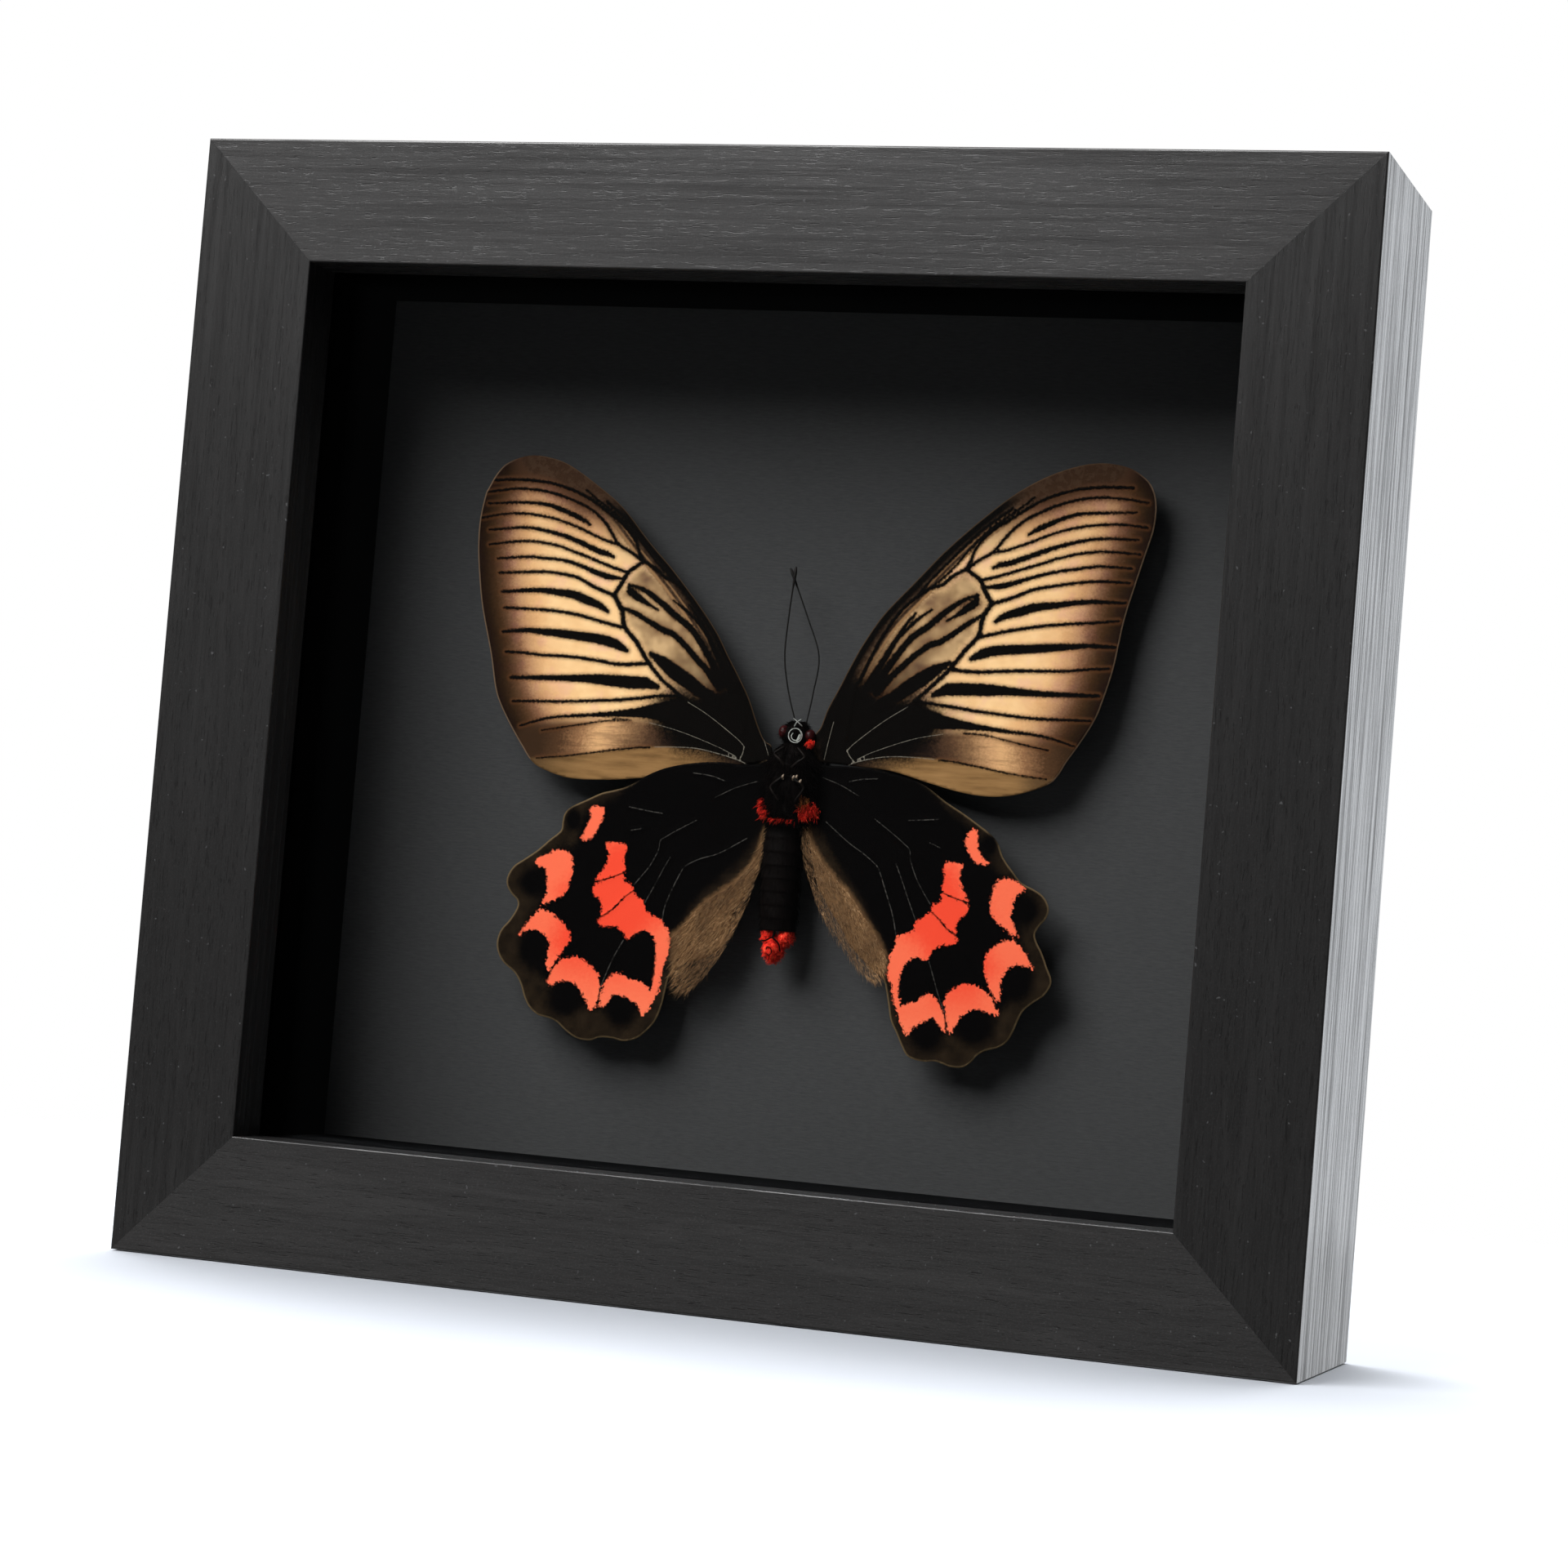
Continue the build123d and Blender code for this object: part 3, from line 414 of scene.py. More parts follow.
def painted_wood():
    """Thin matt black-stained open-grained wood: the grain's pores and ridges show in the gloss. Each rail's
    tone is multiplied by its painted light level, a painted highlight that makes the top and bottom rails
    paler.
    """
    s = Shader("painted_wood")

    def grain(stretch=(1, 1, 1), shift=(0, 0, 0)):
        return s.mm(stretch, shift, "grain")

    fibres = s.noise(grain((0.05, 1, 1)), 3.2, 6, 0.7, 0.3)
    pores = s.step(s.noise(grain((0.09, 1, 1), (7, 3, 1)), 4.5, 2, 0.5), 0.6, 0.7)
    figure = s.noise(grain((0.045, 0.5, 0.5)), 0.55, 4, 0.6, 1.2)
    wear = s.noise(grain(), 0.05, 3)
    grit = s.noise(grain((0.55, 1, 1), (1, 6, 2)), 4.0, 4, 0.75)
    tone = s.ramp(fibres, (0.25, (0.0052, 0.005, 0.005)), (0.75, (0.0104, 0.0101, 0.0101)))
    tone = s.mix(s.times(s.step(figure, 0.5, 0.66), 0.35), tone, (0.0135, 0.013, 0.013), "LIGHTEN")
    tone = s.over(tone, (0.02, 0.0195, 0.0195), grit, 0.52, 0.7, 0.7)
    hollows = s.math("MAXIMUM", pores, s.step(grit, 0.42, 0.3))
    tone = s.mix(s.times(hollows, 0.7), tone, (0.0022, 0.002, 0.002))
    # Painted highlight: each rail's tone is multiplied by its painted light level, so the top and bottom
    # rails are paler.
    tone = s.mix(1.0, tone, s.attribute("painted_light", "Color"), "MULTIPLY")
    dust = s.step(s.noise(s.mm(shift=(9, 4, 7)), 1.1, 1), 0.75, 0.8)
    tone = s.mix(s.times(dust, 0.45), tone, (0.09, 0.092, 0.095))
    rough = s.math("ADD", s.times(fibres, 0.2), s.scaled(wear, 0.1, 0.4))
    lie = s.scaled(grit, 0.5, s.times(fibres, 0.9))
    height = s.math("SUBTRACT", s.scaled(figure, 0.2, lie), s.times(pores, 0.6))
    streaks = s.step(s.noise(grain((0.02, 1, 1)), 0.9, 6, 0.78), 0.36, 0.6)
    s.set(Base_Color=tone, Roughness=rough, Normal=s.bump(height, 0.06, 0.6), Specular_IOR_Level=0.1)
    s.set(Coat_Weight=s.scaled(streaks, 0.72, 0.18), Coat_Roughness=0.2)
    s.set(Coat_Normal=s.bump(height, 0.02, 0.35))
    return s.material


def clear_glass():
    """Thin glass: what is behind shows through, with a reflection that grows at grazing angles."""
    s = Shader("clear_glass")
    film = s.noise(s.mm(), 0.03, 3)
    through = s.node("BsdfTransparent", {"Color": (0.985, 0.992, 0.988)})
    gloss = s.node("BsdfGlossy", {"Color": (0.9, 0.95, 1.0), "Roughness": s.scaled(film, 0.04, 0.03)})
    amount = s.times(s.node("Fresnel", {"IOR": 1.46}), 0.22)
    s.surface(s.node("MixShader", {0: amount, 1: through, 2: gloss}))
    return s.material


def spacer_black():
    """Black faced foam strips with a fine paper tooth."""
    s = Shader("spacer_black")
    tooth = s.noise(s.mm(), 3.0, 5, 0.7)
    cloud = s.noise(s.mm(), 0.08, 3)
    tone = s.ramp(cloud, (0.3, (0.0012, 0.0012, 0.0014)), (0.7, (0.0026, 0.0026, 0.003)))
    return s.finish(tone, (tooth, 0.2, 0.7), (tooth, 0.05, 0.5), 0.015)


def laid_paper():
    """Charcoal mount board with a fine laid texture in level lines and faint fibres."""
    s = Shader("laid_paper")
    threads = s.noise(s.mm((0.16, 1, 1)), 3.2, 4, 0.78)
    cross = s.noise(s.mm((0.9, 1, 0.12)), 1.6, 3, 0.6)
    cloud = s.noise(s.mm(), 0.035, 4, 0.5)
    height = s.scaled(cross, 0.35, threads)
    tone = s.ramp(threads, (0.25, (0.033, 0.033, 0.034)), (0.75, (0.057, 0.057, 0.0585)))
    tone = s.mix(s.times(cloud, 0.5), tone, (0.047, 0.047, 0.049))
    flecks = s.step(s.noise(s.mm(shift=(3, 5, 2)), 1.5, 1), 0.83, 0.87)
    tone = s.mix(s.times(flecks, 0.3), tone, (0.11, 0.11, 0.114))
    return s.finish(tone, (threads, 0.12, 0.78), (height, 0.07, 0.7), 0.06)


def foam(name, dark, light):
    """Closed-cell foam."""
    s = Shader(name)
    cells = s.cells(s.mm(), 3.0)
    s.set(Base_Color=s.ramp(cells, (0.0, dark), (0.5, light)), Roughness=0.85)
    s.set(Normal=s.bump(cells, 0.1, 0.6))
    return s.material


def hardboard():
    """Brown pressed-fibre back, with matted fibres and darker flecks."""
    s = Shader("hardboard")
    fibre = s.noise(s.mm(), 1.4, 7, 0.75, 1.5)
    fleck = s.noise(s.mm((1, 1, 0.6), (4, 1, 9)), 0.7, 5, 0.7, 0.8)
    tone = s.ramp(fibre, (0.3, (0.075, 0.037, 0.017)), (0.5, (0.14, 0.076, 0.036)), (0.7, (0.2, 0.12, 0.062)))
    tone = s.over(tone, (0.06, 0.03, 0.014), fleck, 0.58, 0.72)
    return s.finish(tone, (fibre, 0.2, 0.5), (fibre, 0.12, 0.7))


def zinc_steel(name, tone, roughness, brushed=(0.15, 1, 1)):
    """Bright-plated steel with drawn lines, handling marks and duller patches."""
    s = Shader(name, Metallic=1.0)
    lines = s.noise(s.mm(brushed), 7.0, 4, 0.6)
    patch = s.noise(s.mm(shift=(2, 8, 5)), 0.3, 4, 0.6)
    colour = s.ramp(patch, (0.3, tone), (0.7, tuple(c * 1.25 for c in tone)))
    rough = (lines, 0.18, s.scaled(patch, 0.15, roughness - 0.16))
    return s.finish(colour, rough, (s.scaled(patch, 0.5, lines), 0.02, 0.5))


def soft_rubber():
    """Dull black rubber with dust in its skin."""
    s = Shader("soft_rubber")
    dust = s.noise(s.mm(), 0.9, 5, 0.7)
    tone = s.ramp(dust, (0.35, (0.012, 0.012, 0.013)), (0.75, (0.03, 0.03, 0.031)))
    return s.finish(tone, (dust, 0.25, 0.5), (dust, 0.03, 0.4))


# ---------------------------------------------------------------- mesh helpers
def add_object(name, data):
    """An object in the scene."""
    added = bpy.data.objects.new(name, data)
    bpy.context.scene.collection.objects.link(added)
    return added


def new_mesh(name, vertices, faces, material):
    """A smooth-shaded object of one material."""
    mesh = bpy.data.meshes.new(name)
    mesh.from_pydata([tuple(v) for v in vertices], [], faces)
    mesh.update()
    mesh.materials.append(material)
    mesh.polygons.foreach_set("use_smooth", [True] * len(mesh.polygons))
    return add_object(name, mesh)


def case_mesh(name, vertices, faces, material):
    """A mesh that is a piece of the case."""
    piece = new_mesh(name, vertices, faces, material)
    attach(piece, "case")
    return piece


def add_attribute(piece, name, values):
    """One number or vector for each vertex, for the shader to read."""
    values = np.asarray(values, np.float32)
    kind, field = ("FLOAT", "value") if values.ndim == 1 else ("FLOAT_VECTOR", "vector")
    layer = piece.data.attributes.new(name, kind, "POINT")
    layer.data.foreach_set(field, values.ravel())


def curve_points(points, spacing, closed=False, values=None):
    """Points `spacing` apart on a Catmull-Rom curve through the given ones, with values carried along."""
    points = np.asarray(points, float)
    n = len(points)
    last = n if closed else n - 1
    out, carried = [], []
    for i in range(last):
        if closed:
            p0, p1, p2, p3 = (points[(i + k) % n] for k in (-1, 0, 1, 2))
        else:
            p1, p2 = points[i], points[i + 1]
            p0 = points[i - 1] if i else 2 * p1 - p2
            p3 = points[i + 2] if i + 2 < n else 2 * p2 - p1
        steps = max(1, int(round(np.linalg.norm(p2 - p1) / spacing)))
        for k in range(steps):
            t = k / steps
            square, cube = 2 * p0 - 5 * p1 + 4 * p2 - p3, 3 * p1 - p0 - 3 * p2 + p3
            out.append(0.5 * (2 * p1 + (p2 - p0) * t + square * t * t + cube * t**3))
            if values is not None:
                carried.append(values[i] + (values[i + 1] - values[i]) * t)
    if not closed:
        out.append(points[-1])
        if values is not None:
            carried.append(values[-1])
    out = np.array(out)
    return out if values is None else (out, np.array(carried))


def line_distance(points, line, half=0.0):
    """Distance from each point to a polyline, less its half width there: one number, or one for each of
    the line's own points."""
    a, b = line[:-1], line[1:]
    d = b - a
    half = np.broadcast_to(np.asarray(half, float), len(line))
    best = np.empty(len(points))
    chunk = 4000
    for start in range(0, len(points), chunk):
        p = points[start : start + chunk, None]
        t = np.clip(((p - a) * d).sum(-1) / np.maximum((d * d).sum(-1), 1e-12), 0, 1)
        gap = np.linalg.norm(p - (a + t[..., None] * d), axis=-1) - (half[:-1] + (half[1:] - half[:-1]) * t)
        best[start : start + chunk] = gap.min(1)
    return best


def region_distance(points, outline):
    """Signed distance to a closed outline, negative inside."""
    ring = np.vstack([outline, outline[:1]])
    distance = line_distance(points, ring)
    inside = np.zeros(len(points), bool)
    for (x1, z1), (x2, z2) in zip(ring[:-1], ring[1:]):
        crosses = (z1 > points[:, 1]) != (z2 > points[:, 1])
        if z1 != z2:
            inside ^= crosses & (points[:, 0] < (x2 - x1) * (points[:, 1] - z1) / (z2 - z1) + x1)
    return np.where(inside, -distance, distance)


def warp_from(marks):
    """Thin-plate warp that carries the right wing's landmarks onto the left wing's."""
    marks = np.asarray(marks, float)
    source, target = marks[:, :2], marks[:, 2:]
    n = len(source)

    def kernel(r2):
        return np.where(r2 > 0, r2 * np.log(np.maximum(r2, 1e-12)), 0.0)

    slack = 0.5
    system = np.zeros((n + 3, n + 3))
    system[:n, :n] = kernel(((source[:, None] - source) ** 2).sum(-1)) + slack * np.eye(n)
    system[:n, n] = 1
    system[:n, n + 1 :] = source
    system[n:, :n] = system[:n, n:].T
    weights = np.linalg.solve(system, np.vstack([target, np.zeros((3, 2))]))

    def warp(points):
        points = np.asarray(points, float)
        u = kernel(((points[:, None] - source) ** 2).sum(-1))
        return u @ weights[:n] + weights[n] + points @ weights[n + 1 :]

    return warp


# ---------------------------------------------------------------- frame
def rail(name, length, centre, turn, material, shift, painted_light):
    """One rail with eased edges, mitred at both ends with a hairline joint. Local x runs along the rail."""
    ease = 0.35 * MM
    inner_ease = 0.1 * MM
    depth = rail_back - front_y
    corners = [
        (0, 0, ease), (0, depth, ease), (rail_wall, depth, ease * 0.6), (rail_wall, lip_depth, inner_ease),
        (lip_width, lip_depth, inner_ease), (lip_width, 0, ease * 0.8),
    ]
    profile, facing = [], []
    for i, (a, d, r) in enumerate(corners):
        here = Vector((a, d))
        before = (Vector(corners[i - 1][:2]) - here).normalized()
        after = (Vector(corners[(i + 1) % len(corners)][:2]) - here).normalized()
        for t in (0, 0.25, 0.5, 0.75, 1):
            profile.append(here + before * r * (1 - t) ** 2 + after * r * t**2)
            # Square to the flat on either side, turning evenly between them.
            way = (after * t - before * (1 - t)).normalized()
            facing.append(Vector((-way.y, way.x)))
    n = len(profile)
    joint = 0.006 * MM
    softened = joint + 0.06 * MM
    vertices = []
    sink = 0.02 * MM
    for side, inset, pull in ((-1, joint, sink), (-1, softened, 0), (1, softened, 0), (1, joint, sink)):
        for p, way in zip(profile, facing):
            q = p - way * pull
            vertices.append((side * (length / 2 - q.x - inset), q.y, q.x))
    faces = [tuple(reversed(range(n))), tuple(3 * n + i for i in range(n))]
    for ring in range(3):
        for i in range(n):
            j = (i + 1) % n
            faces.append((ring * n + i, ring * n + j, (ring + 1) * n + j, (ring + 1) * n + i))
    piece = new_mesh(name, vertices, faces, material)
    x, z = centre
    piece.matrix_world = Matrix.Translation((x, front_y, z)) @ Matrix.Rotation(-math.radians(turn), 4, "Y")
    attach(piece, "case")
    add_attribute(piece, "grain", np.array(vertices) / MM + shift)
    # The painted light level, read by the shader's painted highlight that makes the top and bottom rails
    # paler.
    add_attribute(piece, "painted_light", np.full((len(vertices), 3), painted_light))
    normals = []
    for face in piece.data.polygons:
        ends = len(face.vertices) > 4
        for v in face.vertices:
            way = facing[v % n]
            normals.append(face.normal if ends else Vector((0, way.y, way.x)))
    piece.data.normals_split_custom_set(normals)
    return piece


wood = painted_wood()
middle_z = case_height / 2
# Each rail's length, the middle of its outer edge, its turn, its shift in the grain, and its painted light
# level: how much paler it is made, a painted highlight strongest on the top and bottom rails.
for node, length, centre, turn, shift, painted_light in (
    ("rail_bottom", 2 * half_width, (0, 0), 0, (0, 0, 0), 2.1),
    ("rail_right", case_height, (half_width, middle_z), 90, (310, 40, 17), 1.0),
    ("rail_top", 2 * half_width, (0, case_height), 180, (640, 90, 51), 2.5),
    ("rail_left", case_height, (-half_width, middle_z), 270, (970, 20, 83), 1.05),
):
    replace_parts(rail("wood_" + node, length, centre, turn, wood, shift, painted_light), node)


# ---------------------------------------------------------------- CAD pieces that keep their shape
def dress(material, *nodes):
    """Gives CAD nodes a material where they stand."""
    for name in nodes:
        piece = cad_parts[name]
        piece.data.materials.clear()
        piece.data.materials.append(material)


dress(clear_glass(), "glass_pane")
dress(spacer_black(), "spacer_top", "spacer_bottom", "spacer_left", "spacer_right")
dress(laid_paper(), "board_paper")
dress(foam("foam_core", (0.62, 0.61, 0.58), (0.8, 0.79, 0.76)), "foam_board")
dress(foam("pad_foam", (0.012, 0.012, 0.012), (0.03, 0.03, 0.031)), "specimen_pad")
dress(hardboard(), "back_panel")
buttons = ["turn_button_" + place for place in ("lower_left", "upper_left", "lower_right", "upper_right")]
dress(zinc_steel("button_zinc", (0.46, 0.46, 0.47), 0.36), *buttons)
dress(zinc_steel("screw_zinc", (0.5, 0.49, 0.46), 0.3, (1, 1, 1)), "turn_button_screws", "hanger_nails")
dress(zinc_steel("hanger_brass", (0.5, 0.37, 0.16), 0.34), "sawtooth_hanger")
dress(zinc_steel("nail_steel", (0.33, 0.33, 0.34), 0.4, (1, 0.2, 1)), "corner_v_nails")
dress(soft_rubber(), "wall_bumper_left", "wall_bumper_right")


# ---------------------------------------------------------------- wings
def camber(points):
    """How far a wing is off its plane along Y, in millimetres: a shallow bow towards the glass."""
    span, rise = 60, 0.45
    reach = np.clip(np.linalg.norm(points, axis=1) / span, 0, 1)
    return -rise * np.sin(reach * math.pi)


def wing_sheet(outline, lines):
    """Points and triangles of a wing in its plane, with points along its outline and along the lines."""
    cell, row_step = 0.44, 0.866
    rim_gap, line_end_gap, line_gap, crossing_gap = 0.22, 0.15, 0.2, 0.12
    rim = curve_points(outline, 0.3, closed=True)
    low, high = rim.min(0), rim.max(0)
    xs = np.arange(low[0], high[0], cell)
    zs = np.arange(low[1], high[1], cell * row_step)
    grid = np.array([(x + (j % 2) * cell / 2, z) for j, z in enumerate(zs) for x in xs])
    grid = grid[region_distance(grid, rim) < -rim_gap]
    threads = []
    for line in lines:
        line = line[region_distance(line, rim) < -line_end_gap]
        if len(line) > 1:
            grid = grid[line_distance(grid, line) > line_gap]
            for other in threads:
                line = line[line_distance(line, other) > crossing_gap] if len(line) > 1 else line
            if len(line) > 1:
                threads.append(line)
    points = np.vstack([rim, *threads, grid])
    made = delaunay_2d_cdt([Vector(p) for p in points], [], [list(range(len(rim)))], 1, 1e-5)
    return rim, np.array([tuple(v) for v in made[0]]), [tuple(f) for f in made[2]]


def wing(name, outline, lines, veins, y, material, shade):
    """A wing as a thin closed shell with raised veins. shade(points, rim) gives its attributes."""
    vein_width, vein_rise, half_thickness = 0.35, 0.07, 0.06
    rim, flat, triangles = wing_sheet(outline, lines)
    ridge = np.zeros(len(flat))
    for line in veins:
        ridge = np.maximum(ridge, np.exp(-((line_distance(flat, line) / vein_width) ** 2)))
    lift = camber(flat) - vein_rise * ridge
    front, back = place(flat, y), place(flat, y)
    front[:, 1] += (lift - half_thickness) * MM
    back[:, 1] += (lift + half_thickness) * MM
    n = len(flat)
    edges = dict.fromkeys((a, b) for f in triangles for a, b in zip(f, f[1:] + f[:1]))
    faces = triangles + [tuple(n + i for i in reversed(f)) for f in triangles]
    faces += [(b, a, n + a, n + b) for a, b in edges if (b, a) not in edges]
    piece = case_mesh(name, np.vstack([front, back]), faces, material)
    for key, values in shade(flat, rim).items():
        add_attribute(piece, key, np.concatenate([values, values]))
    return piece


def tapered(points, start, end):
    """A smooth line and its half widths, from full widths at its two ends."""
    line = curve_points(points, 0.9)
    return line, np.linspace(start, end, len(line)) / 2


def forewing_cells(warp, apex, tornus):
    """Veins, lines that get vertices, and shade() for a forewing whose places warp carries over. Its outer
    margin runs from apex to tornus."""
    # Drawn widths over the listed ones, and for streaks half of that, matched in renders.
    vein_start, vein_end, half, thin = 1.15, 1.2, 0.66, 0.42
    dark = [tapered(warp(p), a * vein_start, b * vein_end) for p, a, b in FORE_VEINS]
    veins = [vein[0] for vein in dark]
    streaks = [curve_points(warp(p), 0.9, values=np.array(widths) * half) for p, widths in FORE_STREAKS]
    pale = [tapered(warp(p), a * thin, b * thin) for p, a, b in FORE_PALE]
    threads = [curve_points(warp(p), 0.3) for p, *widths in FORE_VEINS + FORE_STREAKS + FORE_PALE]
    basal = curve_points(warp(FORE_BASAL), 1, closed=True)
    anal = curve_points(warp(FORE_ANAL), 1, closed=True)
    cell = warp(FORE_VEINS[0][0] + FORE_VEINS[1][0][1:] + FORE_VEINS[2][0][1:] + [(8.3, 8)])
    trailing = curve_points(warp(FORE_LOW), 1, closed=True)

    def shade(points, rim):
        lines = np.min([line_distance(points, *vein) for vein in dark + streaks], axis=0)
        light = np.min([line_distance(points, *vein) for vein in pale], axis=0)
        first, last = (int(np.argmin(np.hypot(*(rim - corner).T))) for corner in (apex, tornus))
        # The front edge and the outer margin overlap round the tip, where one fades into the other.
        past_tip, before_tip = 14, 24
        costa, outer = rim[: first + past_tip : 3], rim[first - before_tip : last + 1 : 3]
        return {
            "dark": lines,
            "pale": light,
            "costa": line_distance(points, costa),
            "outer": line_distance(points, outer),
            "basal": region_distance(points, basal),
            "anal": region_distance(points, anal),
            "cell": region_distance(points, cell),
            "low": region_distance(points, trailing),
            "reach": np.linalg.norm(points, axis=1),
        }

    return veins, threads, shade


def forewing_scales():
    """Cream forewing: brown-black veins and streaks with ragged edges, dark front edge, smoky margin."""
    s = Shader("forewing_scales")
    mm = s.mm()
    ragged = s.noise(mm, 2.6, 5, 0.75)
    fine = s.noise(mm, 7.0, 3, 0.6)
    mottle = s.noise(s.mm(shift=(5, 2, 8)), 0.35, 4, 0.6)
    jag = s.math("SUBTRACT", ragged, 0.5)
    reach, outer, costa, low = (s.attribute(name) for name in ("reach", "outer", "costa", "low"))
    edge = s.scaled(jag, 2.5, outer)

    cream = s.ramp(mottle, (0.3, srgb(234, 186, 132)), (0.7, srgb(246, 204, 150)))
    cell = s.scaled(jag, 1.5, s.attribute("cell"))
    clouds = s.noise(s.mm(shift=(2, 9, 4)), 0.24, 2, 0.5)
    dusk = s.ramp(clouds, (0.32, srgb(112, 83, 62)), (0.5, srgb(156, 124, 88)), (0.68, srgb(198, 162, 118)))
    bloom = s.noise(s.mm(shift=(8, 1, 3)), 0.22, 3, 0.6)
    cream = s.over(cream, srgb(232, 176, 152), bloom, 0.5, 0.68, 0.45)
    colour = s.over(cream, dusk, cell, 0.6, -2.0)
    colour = s.over(colour, srgb(44, 32, 22), reach, 35, 19)

    # The smoky margin: how far in, in millimetres, and the cream's screen colour there.
    smoke = [
        (0, (24, 13, 10)), (1.5, (38, 24, 14)), (3, (60, 39, 23)), (4.3, (90, 61, 42)), (5.6, (126, 88, 66)),
        (7, (176, 130, 96)), (8.6, (206, 157, 113)), (10.3, (228, 178, 130)), (13.5, (241, 196, 146)),
    ]
    smoke_width, whole = 14.0, srgb(241, 196, 146)
    ratio = [(at / smoke_width, tuple(c / w for c, w in zip(srgb(*tone), whole))) for at, tone in smoke]
    colour = s.mix(1.0, colour, s.ramp(s.math("DIVIDE", edge, smoke_width), *ratio), "MULTIPLY")

    # Below the last long vein the ground starts black, is palest 36 mm from the root and darkens again.
    trail = [
        (21, (12, 8, 7)), (24.5, (34, 23, 18)), (28, (80, 56, 39)), (31, (126, 93, 64)),
        (34.5, (196, 149, 105)), (36.5, (213, 164, 115)), (40, (142, 102, 70)), (43.5, (78, 53, 34)),
        (47, (52, 35, 22)),
    ]
    trail_end = 50.0
    along = s.math("DIVIDE", s.scaled(jag, 6.0, reach), trail_end)
    lower = s.ramp(along, *[(at / trail_end, srgb(*tone)) for at, tone in trail])
    furrow = s.noise(s.mm((0.12, 1, 1.1), (0, 0, 3)), 1.0, 4, 0.65)
    lower = s.over(lower, srgb(60, 40, 27), furrow, 0.46, 0.66, 0.38)
    colour = s.over(colour, lower, low, 1.0, -1.6)

    halo = s.scaled(jag, 0.8, s.attribute("dark"))
    colour = s.over(colour, srgb(96, 58, 32), halo, 0.7, -0.1, 0.5)
    brown = s.ramp(fine, (0.3, srgb(30, 20, 14)), (0.7, srgb(62, 43, 30)))
    lines = s.step(s.noise(s.mm(shift=(0, 4, 0)), 1.1, 2), 0.45, 0.6)
    brown = s.mix(s.times(lines, 0.4), brown, srgb(84, 66, 50))
    tip = s.times(s.step(costa, 7.0, 3.0), s.step(outer, 20, 9))
    colour = s.mix(s.times(tip, 0.7), colour, srgb(74, 50, 35))
    black = s.ramp(fine, (0.3, (0.0008, 0.0006, 0.0005)), (0.75, (0.0034, 0.0024, 0.0018)))
    lead = s.scaled(jag, 1.2, costa)
    fading = s.scaled(s.step(outer, 3, 9), 0.4, 0.6)
    colour = s.mix(s.times(s.step(lead, 3.7, 2.9), fading), colour, brown)
    away = s.times(s.step(reach, 15, 36), s.step(outer, 4, 14))
    for at, width, strength in ((2.15, 0.26, 0.6), (3.05, 0.4, 0.95)):
        gap = s.math("ABSOLUTE", s.math("SUBTRACT", s.scaled(jag, 0.4, costa), at))
        stripe = s.times(s.step(gap, width, 0.05), strength)
        colour = s.mix(s.times(stripe, away), colour, srgb(144, 107, 72))
    colour = s.mix(s.times(s.step(lead, 1.9, 0.9), s.step(outer, 1.0, 10)), colour, black)

    silk = s.noise(s.mm((0.1, 1, 0.8), (4, 0, 2)), 0.9, 4, 0.6)
    tan = s.ramp(silk, (0.3, srgb(102, 74, 44)), (0.5, srgb(134, 100, 62)), (0.7, srgb(150, 113, 73)))
    tan = s.over(tan, srgb(88, 64, 42), edge, 6, 1)
    tan = s.over(tan, srgb(88, 66, 40), reach, 36, 46, 0.55)
    tan = s.over(tan, srgb(66, 48, 36), reach, 20, 11)
    anal = s.scaled(jag, 0.8, s.attribute("anal"))
    colour = s.over(colour, tan, anal, 0.35, -0.35)
    basal = s.scaled(jag, 4.0, s.attribute("basal"))
    colour = s.over(colour, black, basal, 3.0, -0.4)
    colour = s.over(colour, black, s.scaled(jag, 0.9, s.attribute("dark")), 0.2, -0.14)
    colour = s.over(colour, srgb(84, 64, 46), costa, 0.2, 0.08, 0.6)
    # Painted highlight: a pale line along the outer edge, where the edge would catch the light.
    painted_edge_highlight = s.times(s.step(outer, 0.3, 0.1), s.step(costa, 3.0, 9.0))
    colour = s.mix(s.times(painted_edge_highlight, 0.7), colour, srgb(126, 102, 82))
    pale = s.times(s.step(s.attribute("pale"), 0.05, -0.04), s.step(ragged, 0.34, 0.56))
    colour = s.mix(s.times(pale, 0.75), colour, srgb(132, 125, 114))
    height = s.scaled(fine, 0.5, s.step(s.attribute("dark"), 0.3, -0.2))
    return s.finish(colour, (fine, 0.2, 0.5), (height, 0.04, 0.5), 0.02)


def hindwing_cells(warp):
    """The same as forewing_cells, for a hindwing."""
    red = [curve_points(warp(p), 0.6, closed=True) for p in HIND_RED]
    fold = curve_points(warp(HIND_FOLD), 1, closed=True)
    zone = curve_points(warp(HIND_DARK), 1, closed=True)
    thin = 0.65  # the pale veins' drawn widths over the listed ones
    pale = [tapered(warp(p), a * thin, b * thin) for p, a, b in HIND_PALE]
    dark = [tapered(warp(p), a, b) for p, a, b in HIND_VEINS]
    threads = [curve_points(warp(p), 0.3) for p, *widths in HIND_PALE + HIND_VEINS]
    spots = [(warp([(x, z)])[0], rx, rz) for x, z, rx, rz in HIND_SPOTS]

    def shade(points, rim):
        ring = np.vstack([rim, rim[:1]])
        return {
            "red": np.min([region_distance(points, patch) for patch in red], axis=0),
            "fold": region_distance(points, fold),
            "zone": region_distance(points, zone),
            "pale": np.min([line_distance(points, *vein) for vein in pale], axis=0),
            "dark": np.min([line_distance(points, *vein) for vein in dark], axis=0),
            "spot": np.min([np.hypot(*((points - c) / (rx, rz)).T) - 1 for c, rx, rz in spots], axis=0),
            "outer": line_distance(points, ring),
            "drop": -points[:, 1],
        }

    return [vein[0] for vein in pale + dark], threads + red, shade


